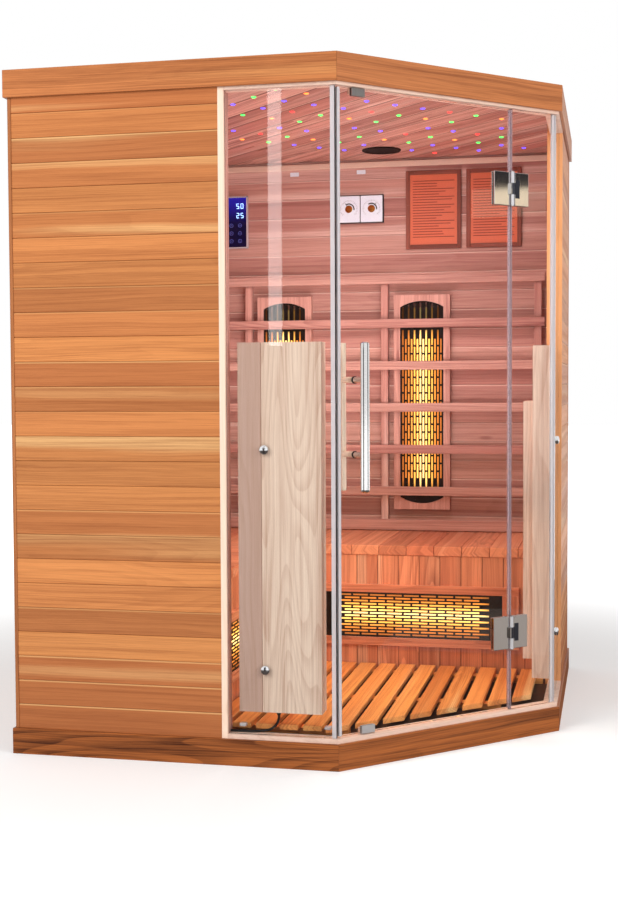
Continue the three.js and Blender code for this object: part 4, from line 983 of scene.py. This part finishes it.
# clear seals on the glass edges that meet at the corners, at the door's free edge and at the hinges
seal = dict(latchAt=0.014598, stripEnd=0.777362, **lengths(
    wide=8, proud=1.2, lip=3.8, line=1.3, gapLip=4, gap=0.4, hingeGap=3, reach=2.2, glassFrom=20, glassTo=28,
    round=0.8, gapRound=0.5))
t, lip, wide, gap, reach, gapLip = (seal[key] for key in ("proud", "lip", "wide", "gap", "reach", "gapLip"))
low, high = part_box("glass_left")
end = high.x + lip
leftSeal = board((high.x - wide, low.y - t, low.z), (end, high.y + t, high.z), 2, seal["round"])
# painted shadow: a black strip beside the seal stands in for the seal's shadow
sealShadowStrip = board((end, low.y, low.z), (end + seal["line"], high.y, high.z), 2, seal["gapRound"])
makePiece("corner_seal_shadow", [sealShadowStrip], black)
low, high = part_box("glass_right")
rightSeal = board((low.x - t, low.y - gap, low.z), (high.x + t, low.y + wide, high.z), 2, seal["round"])
makePiece("corner_seals", [leftSeal, rightSeal], sealMaterial)
latch, stripEnd = seal["latchAt"], seal["stripEnd"]
doorEnd, hingeSide = axisAlong - seal["hingeGap"], axisAlong + seal["hingeGap"]
for name, node, body, a, b in (("door_edge_seal", "door_glass", "door", latch - gap, latch + wide),
                               ("door_gap_seal", "door_glass", "door", doorEnd - gapLip, doorEnd + reach),
                               ("strip_edge_seal", "glass_hinge_side", "cabin", stripEnd - wide, stripEnd + gap),
                               ("strip_gap_seal", "glass_hinge_side", "cabin", hingeSide - reach, hingeSide + gapLip)):
    low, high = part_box(node)
    proud, edge, material = (t, seal["round"], sealMaterial) if "edge" in name else (0, seal["gapRound"], gapMaterial)
    shape = board((a, seal["glassFrom"] - proud, low.z), (b, seal["glassTo"] + proud, high.z), 2, edge)
    makePiece(name, [shape], material, body, place=doorLine)

# small clear clips that hold the bottom edges of the fixed glass
clip = dict(at=((-0.086, -0.700), (0.150, -0.694)), **lengths(half=9, high=9, outward=10, inward=8, round=2))
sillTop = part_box("sill")[1].z
makePiece("sill_clips", [board((x - clip["half"], y - clip["outward"], sillTop),
                               (x + clip["half"], y + clip["inward"], sillTop + clip["high"]), 0, clip["round"], 3)
                         for x, y in clip["at"]], sealMaterial)

# bolts that hold the columns: polished caps outside the glass
columnBolt = dict(z=(0.262, 0.860), **lengths(radius=13, dome=6, rim=1.5, across=74, bore=5, depth=9, glassIn=20))
cap = dome(columnBolt["radius"], columnBolt["dome"], 0, columnBolt["rim"])
glassFace = corner["side"] / 2 - columnBolt["glassIn"]
shapes = []
for z in columnBolt["z"]:
    for origin, out in (((columnLeftEdge + columnBolt["across"], -glassFace, z), (0, -1, 0)),
                        ((glassFace, columnRightEdge - columnBolt["across"], z), xAxis)):
        origin, out = Vector(origin), Vector(out)
        facing = out.to_track_quat("Z", "Y").to_matrix().to_4x4()
        facing.translation = origin
        shapes += [lathe(cap, 32, facing), rod(origin, origin - out * columnBolt["depth"], columnBolt["bore"])]
makePiece("column_bolts", shapes, chrome)
print("door hardware, seals and bolts made")


# control panel: pale bezel, dark glass with glowing figures and ring buttons
screenLight = dict(start=0.42, least=0.06, most=0.85, blue=(36, 28, 168), dark=(6, 6, 14), gloss=0.2)


def screenMaterial(s, low, high):
    # dark glass with a blue light behind it that fades from the top down
    material, tree, shader = newMaterial("panelGlass")
    start = low + s["start"] * (high - low)
    glow = rise(parts(objectCoords(tree))["Z"], start, high, s["least"], s["most"])
    feed(shader, {"Emission Color": mixColours(glow, (0, 0, 0, 1), srgb(*s["blue"])), "Emission Strength": 1.0,
                  "Base Color": srgb(*s["dark"]), "Roughness": s["gloss"], "Specular IOR Level": s["gloss"]})
    return material


def wallFrame(low, high):
    # a fitting on the back wall: local X right, Y up, Z out, origin in the middle of its face; half sizes and depth
    place = basis(((low.x + high.x) / 2, low.y, (low.z + high.z) / 2), xAxis, zAxis, (0, -1, 0))
    return place, (high.x - low.x) / 2, (high.z - low.z) / 2, high.y - low.y


panel = dict(rows=("50", "25"), rowAt=(0.62, 0.36), buttonAt=(0.12, 0.3), spread=1.25,
             buttons=[(0, -2.2), (0, -1)] + [(c, r) for r in range(3) for c in range(3)], ringSides=28,
             **lengths(bezel=5, recess=1.5, round=1.2, lap=1, screenRound=1, digitHigh=17, digitWide=8.5, stroke=2.2,
                       gap=4.5, firstDigit=25, ring=7, ringThick=1, buttonPitch=33, sunk=0.1, figureHigh=0.5,
                       markHigh=0.4, markLong=2.5, markThick=0.6))
segments = {"0": "abcdef", "2": "abged", "5": "afgcd"}
low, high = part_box("control_panel")
wallFace = high.y
screen = screenMaterial(screenLight, low.z, high.z)
panelFace, wide, tall, depth = wallFrame(low, high)
bezel, lap = panel["bezel"], panel["bezel"] - panel["lap"]
frameBars = frameBoards(-wide, wide, -tall, tall, -depth, 0, bezel, bezel, panel["round"], bezel)
makePiece("panel_bezel", frameBars, plainMaterial("panelBezel", (192, 186, 194), rough=0.3),
          place=panelFace)
screenPlate = board((lap - wide, lap - tall, -depth), (wide - lap, tall - lap, -panel["recess"]), 1,
                    panel["screenRound"])
makePiece("panel_screen", [screenPlate], screen, replaced=["control_panel"], place=panelFace)


def digit(figure, x, y, level):
    # seven-segment figure as plain bars on the screen
    h, w, t = panel["digitHigh"] / 2, panel["digitWide"] / 2, panel["stroke"] / 2
    spans = dict(a=((-w, h - t), (w, h + t)), d=((-w, -h - t), (w, -h + t)), g=((-w, -t), (w, t)),
                 f=((-w - t, 0), (-w + t, h)), b=((w - t, 0), (w + t, h)),
                 e=((-w - t, -h), (-w + t, 0)), c=((w - t, -h), (w + t, 0)))
    return [((x + x0, y + y0, level), (x + x1, y + y1, level + panel["figureHigh"]))
            for (x0, y0), (x1, y1) in (spans[s] for s in segments[figure])]


def ringButton(x, y, level):
    # a flat ring of square section with a short dash in it
    n, high = panel["ringSides"], level + panel["markHigh"]
    outer, inner = (circle(r, n) + (x, y) for r in (panel["ring"], panel["ring"] - panel["ringThick"]))
    points = np.c_[np.concatenate([outer, outer, inner, inner]), np.repeat([level, high, high, level], n)]
    j = np.arange(n)
    k = (j + 1) % n
    faces = [gridFaces(4, n), np.stack([3 * n + j, 3 * n + k, k, j], -1)]
    long, thick = panel["markLong"], panel["markThick"]
    return [(points, faces, points[:, :2], 0.5), bars([((x - long, y - thick, level), (x + long, y + thick, high))])]


level = -panel["recess"] - panel["sunk"]
marks, buttons = [], []
for row, text in enumerate(panel["rows"]):
    y = tall * (panel["rowAt"][0] - panel["rowAt"][1] * row)
    for i, figure in enumerate(text):
        x = panel["firstDigit"] + i * (panel["digitWide"] + panel["gap"]) * panel["spread"]
        marks += digit(figure, x, y, level)
for column, row in panel["buttons"]:
    y = -tall * (panel["buttonAt"][0] + panel["buttonAt"][1] * row)
    buttons += ringButton((column - 1) * panel["buttonPitch"], y, level)
blueGlow = plainMaterial("blueFigures", (120, 170, 255), emission=(170, 205, 255), strength=2.2)
ringGlow = plainMaterial("panelRings", (80, 82, 140), rough=0.3, emission=(90, 100, 210), strength=0.6)
makePiece("panel_figures", [bars(marks)], blueGlow, smooth=False, place=panelFace)
makePiece("panel_buttons", buttons, ringGlow, smooth=False, place=panelFace)

# thermometer and hygrometer: two square white faces with scales, brass hubs and needles
dial = dict(lean=(0.55, -0.7), ticks=24, sweep=260, longTick=1.6, longEvery=4, band=(-10, 125), hubShare=0.8, **lengths(
    wide=84, round=3, apart=1, radius=33, hub=13.5, hubRim=1.2, hubFlat=2, hubTop=2.2, needle=26, needleTail=6,
    needleHalf=0.8, needleFrom=0.8, needleTo=1.4, tick=4, tickHalf=0.45, ink=0.3, bandFrom=3.5, bandTo=8, backing=2.4,
    backingIn=1.5, backingRound=1))
dialFace, _, tall, depth = wallFrame(*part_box("twin_dial"))
casing = plainMaterial("dialCasing", (226, 238, 252), rough=0.25, coat=0.3, shade=0.97)
ink = plainMaterial("dialInk", (40, 42, 50), rough=0.5)
brass = plainMaterial("dialBrass", (214, 160, 80), rough=0.25, metal=1.0)
cases, prints, hubs = [], [], []
for x, lean in zip((-dial["wide"] / 2, dial["wide"] / 2), dial["lean"]):
    half, hub, m = dial["wide"] / 2 - dial["apart"], dial["hub"], Matrix.Translation((x, 0, 0))
    cases.append(board((x - half, -tall, -depth), (x + half, tall, 0), 2, dial["round"], 3))
    for k in range(dial["ticks"] + 1):
        turn = Matrix.Rotation(math.radians(dial["sweep"] * (0.5 - k / dial["ticks"])), 4, "Z")
        size = dial["tick"] * (dial["longTick"] if k % dial["longEvery"] == 0 else 1)
        tick = (-dial["tickHalf"], dial["radius"] - size, 0), (dial["tickHalf"], dial["radius"], dial["ink"])
        prints.append(bars([tick], m @ turn))
    needle = ((-dial["needleHalf"], -dial["needleTail"], dial["needleFrom"]),
              (dial["needleHalf"], dial["needle"], dial["needleTo"]))
    prints.append(bars([needle], m @ Matrix.Rotation(lean, 4, "Z")))
    arc = np.radians(np.linspace(*dial["band"], 40))
    spoke = np.c_[np.cos(arc), np.sin(arc)]
    band = np.concatenate([(hub + dial["bandFrom"]) * spoke, (hub + dial["bandTo"]) * spoke[::-1]])
    prints.append(plate(band[::-1], 0, dial["ink"], m))
    hubs.append(lathe([(0, 0), (hub, 0), (hub, dial["hubRim"]), (hub * dial["hubShare"], dial["hubFlat"]),
                       (0, dial["hubTop"])], 36, m))
wide, high = dial["wide"] + dial["backing"], tall + dial["backing"]
backing = board((-wide, -high, -depth), (wide, high, -dial["backingIn"]), 0, dial["backingRound"])
makePiece("dial_casings", cases, casing, replaced=["twin_dial"], place=dialFace)
makePiece("dial_scales", prints, ink, smooth=False, place=dialFace)
makePiece("dial_backing", [backing], ink, place=dialFace)
makePiece("dial_hubs", hubs, brass, place=dialFace)

# speaker: dished black ring round a ribbed middle
speaker = dict(coneShare=0.8, lipShare=1.04, edgeShare=0.96, ribs=9,
               **lengths(face=1, rib=1.2, dish=2, lip=0.2, edge=5, back=5.2, deep=30))
low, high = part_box("speaker")
centre, radius = (low + high) / 2, (high.x - low.x) / 2
cone = radius * speaker["coneShare"]
profile = [(0, -speaker["face"])]
profile += [(cone * k / speaker["ribs"], -speaker["face"] - speaker["rib"] * (k % 2))
            for k in range(1, speaker["ribs"])]
profile += [(cone, -speaker["dish"]), (cone * speaker["lipShare"], -speaker["lip"]),
            (radius * speaker["edgeShare"], 0), (radius, -speaker["dish"]), (radius, -speaker["edge"]),
            (cone, -speaker["back"]), (cone, -speaker["deep"]), (0, -speaker["deep"])]
downward = Matrix.Rotation(math.pi, 4, "X")
makePiece("speaker_ring", [lathe(profile[::-1], 56, Matrix.Translation((centre.x, centre.y, low.z)) @ downward)],
          plainMaterial("speakerPlastic", (9, 9, 10), rough=0.75, bump=0.2, scale=200),
          replaced=["speaker"])

# star lights in the ceiling: small domes on a lattice, colours going round in turn
stars = dict(order=("violet", "green", "violet", "orange", "violet", "green", "red"), strength=3.2, backTo=-0.55,
             rows=6, columns=8, left=(3, 5, 11), turns=(2, 3),
             **lengths(alongStep=102, acrossStep=120, acrossShift=17, radius=7.5, drop=3, sunk=0.5, margin=90,
                       wall=60, fromSpeaker=15))
starColours = dict(violet=(84, 70, 255), green=(60, 235, 90), orange=(255, 120, 50), red=(255, 50, 50))
groups = {key: [] for key in stars["order"]}
starDome = dome(stars["radius"], stars["drop"], -stars["sunk"], steps=5)
room = corner["side"] / 2 - stars["wall"] - stars["margin"]
(leftK, leftJ, leftOf), (turnK, turnJ) = stars["left"], stars["turns"]  # which places stay empty, and the colours' turn
for j in range(-stars["rows"], stars["rows"] + 1):
    for k in range(-stars["columns"], stars["columns"] + 1):
        t, n = k * stars["alongStep"], stars["acrossShift"] + j * stars["acrossStep"]
        x, y = (t + n) / root2, (t - n) / root2
        clear = max(abs(x), abs(y)) < room and stars["backTo"] < x - y < corner["face"] - 2 * stars["margin"]
        clear = clear and math.hypot(x - centre.x, y - centre.y) > radius + stars["fromSpeaker"]
        if clear and (k * leftK + j * leftJ) % leftOf != 0:
            place = Matrix.Translation((x, y, ceiling)) @ downward
            key = stars["order"][(k * turnK + j * turnJ) % len(stars["order"])]
            groups[key].append(lathe(starDome, 14, place))
for key, shapes in groups.items():
    makePiece(f"star_lights_{key}", shapes,
              plainMaterial(f"star_{key}", starColours[key], emission=starColours[key], strength=stars["strength"]))

# framed notices on the back wall: brown frames, bare tinted plates with ruled lines
notice = dict(xs=((0.158, 0.359), (0.377, 0.574)), z=(1.526, 1.808), ruled=22, **lengths(
    frame=15, thick=11, round=2, lap=1, plateIn=5, plateRound=0.8, ruleIn=4.7, ruleThick=0.5, top=24, side=10,
    ragged=70, pitch=9.6, stroke=2.6))
frames, plates, rules = [], [], []
(z0, z1), w, lap, side = notice["z"], notice["frame"], notice["lap"], notice["side"]
y1, y0 = wallFace, wallFace - notice["thick"]
for x0, x1 in notice["xs"]:
    frames += [board((a, y0, c), (b, y1, d), axis, notice["round"]) for a, b, c, d, axis in (
        (x0, x0 + w, z0, z1, 2), (x1 - w, x1, z0, z1, 2), (x0 + w, x1 - w, z0, z0 + w, 0),
        (x0 + w, x1 - w, z1 - w, z1, 0))]
    plates.append(board((x0 + w - lap, y0 + notice["plateIn"], z0 + w - lap), (x1 - w + lap, y1, z1 - w + lap), 2,
                        notice["plateRound"]))
    for i in range(notice["ruled"]):
        z, y = z1 - w - notice["top"] - i * notice["pitch"], y0 + notice["ruleIn"]
        end = x1 - w - side - seed.random() * notice["ragged"] * (i % 3 != 0)
        rules.append(((x0 + w + side, y, z), (end, y + notice["ruleThick"], z + notice["stroke"])))
makePiece("notice_frames", frames, woodMaterial("noticeFrames", "frame", contrast=0.6, gloss=0.12))
makePiece("notice_plates", plates,
          plainMaterial("noticePlate", (214, 106, 70), rough=0.4, coat=0.1, shade=0.84, scale=9))
makePiece("notice_rules", [bars(rules)], plainMaterial("noticeRules", (112, 38, 26), rough=0.5), smooth=False)

# moulding under the ceiling and small white tags on the back wall
moulding = dict(z=(1.826, 1.847), reach=0.689, wall=-0.69, **lengths(thick=12, round=3))
tag = dict(at=((-0.256, 1.812), (-0.008, 1.812)), **lengths(wide=33, high=15, thick=2, round=0.8))
(z0, z1), reach, wall, front = moulding["z"], moulding["reach"], moulding["wall"], wallFace - moulding["thick"]
makePiece("ceiling_moulding", [
    board((-reach, front, z0), (reach, wallFace, z1), 0, moulding["round"], 4),
    board((wall, -reach, z0), (wall + moulding["thick"], front, z1), 1, moulding["round"], 4)],
    woodPale)
w, h = tag["wide"] / 2, tag["high"] / 2
makePiece("wall_tags", [board((x - w, wallFace - tag["thick"], z - h), (x + w, wallFace, z + h), 0, tag["round"])
                        for x, z in tag["at"]], casing)
print("fittings made")

# stage: pale floor, white surroundings, soft lamps
scene.view_settings.view_transform = "Standard"
stage = dict(half=30, floor=(0.82, 0.82, 0.82, 1), fade=(1.2, 4.0, 0.22, 1.0), ambient=0.56)


def seenRays(tree):
    # 1 for rays from the camera, a reflection or glass
    path = addNode(tree, "LightPath")
    seen = maths("MAXIMUM", path["Is Glossy Ray"], path["Is Transmission Ray"])
    return maths("MAXIMUM", path["Is Camera Ray"], seen)


def flatMesh(name, corners, material):
    mesh = bpy.data.meshes.new(name)
    mesh.from_pydata(corners, [], [(0, 1, 2, 3)])
    mesh.materials.append(material)
    flat = bpy.data.objects.new(name, mesh)
    scene.collection.objects.link(flat)
    return flat


def makeStage():
    # the floor's glow fades towards the object, where its shadow falls
    material, tree, shader = newMaterial("paleFloor")
    far = linked("VectorMath", {0: objectCoords(tree)}, operation="LENGTH")["Value"]
    glow = maths("MULTIPLY", seenRays(tree), rise(far, *stage["fade"]))
    feed(shader, {"Base Color": stage["floor"], "Roughness": 0.9, "Emission Color": (1, 1, 1, 1),
                  "Emission Strength": glow})
    w = stage["half"]
    flatMesh("floor", [(-w, -w, 0), (w, -w, 0), (w, w, 0), (-w, w, 0)], material)
    scene.world = bpy.data.worlds.new("whiteRoom")
    scene.world.use_nodes = True
    tree = scene.world.node_tree
    strength = maths("MULTIPLY_ADD", seenRays(tree), 1 - stage["ambient"], stage["ambient"])
    feed(tree.nodes["Background"], {"Color": (1, 1, 1, 1), "Strength": strength})


def softLamp(name, place, aim, size, power, colour=(1, 1, 1)):
    data = bpy.data.lights.new(name, "AREA")
    data.shape = "RECTANGLE"
    data.size, data.size_y = size
    data.energy, data.color = power, colour
    lamp = bpy.data.objects.new(name, data)
    lamp.location = place
    lamp.rotation_euler = (Vector(aim) - Vector(place)).to_track_quat("-Z", "Y").to_euler()
    lamp.visible_camera = lamp.visible_glossy = lamp.visible_transmission = False
    scene.collection.objects.link(lamp)


def studioCard(name, low, high, colour, glow):
    # panel that only reflections show: clear to a ray that came straight through glass
    material, tree, shader = newMaterial(name)
    path = addNode(tree, "LightPath")
    direct = maths("LESS_THAN", path["Glossy Depth"], 0.5)
    clearWhere(shader, maths("MULTIPLY", path["Is Transmission Ray"], direct))
    feed(shader, {"Base Color": colour, "Roughness": 1.0, "Emission Color": colour, "Emission Strength": glow})
    (x0, y0, z0), (x1, y1, z1) = low, high
    corners = [(x0, y0, z0), (x1, y1, z0), (x1, y1, z1), (x0, y0, z1)]
    if z0 == z1:
        corners = [(x0, y0, z0), (x1, y0, z0), (x1, y1, z0), (x0, y1, z0)]
    card = flatMesh(name, corners, material)
    card.visible_camera = card.visible_diffuse = card.visible_shadow = False


makeStage()
studioCard("greyCardFront", (-0.42, -1.6, 0.0), (0.03, -1.6, 2.2), (0.04, 0.036, 0.036, 1), 0.0)
studioCard("greyCardRight", (7.0, -2.6, 0.0), (7.0, 0.1, 5.0), (0.04, 0.036, 0.04, 1), 0.0)
studioCard("goldCard", (6.98, -1.05, 2.28), (6.98, -0.5, 2.49), (0.74, 0.62, 0.46, 1), 0.8)
studioCard("paleMat", (1.85, -0.9, 0.004), (2.9, 0.1, 0.004), (0.3, 0.27, 0.25, 1), 0.25)
studioCard("greyMat", (-6.0, -7.0, 0.002), (7.0, 3.0, 0.002), (0.07, 0.06, 0.055, 1), 0.0)
studioCard("stripLight", (-0.217, -1.58, 1.165), (-0.171, -1.58, 2.02), (1, 1, 1, 1), 3.5)
softLamp("keyLamp", (-2.6, -4.2, 3.2), (0, 0, 0.9), (2.5, 2.5), 132)
softLamp("fillLamp", (3.6, -2.6, 2.2), (0, 0, 0.9), (2.5, 2.5), 95)
softLamp("ceilingWash", (0.15, -0.1, 1.84), (0.1, 0.05, 0), (0.6, 0.6), 13.5, (1.0, 0.88, 0.85))
softLamp("upwardWash", (0.05, -0.1, 0.7), (0.05, -0.1, 2), (0.7, 0.7), 10.5, (1.0, 0.87, 0.88))
softLamp("lowGlow", (0.25, -0.3, 0.75), (-0.05, 0.2, 0.1), (0.5, 0.3), 3.0, (1.0, 0.74, 0.5))
print("stage set")
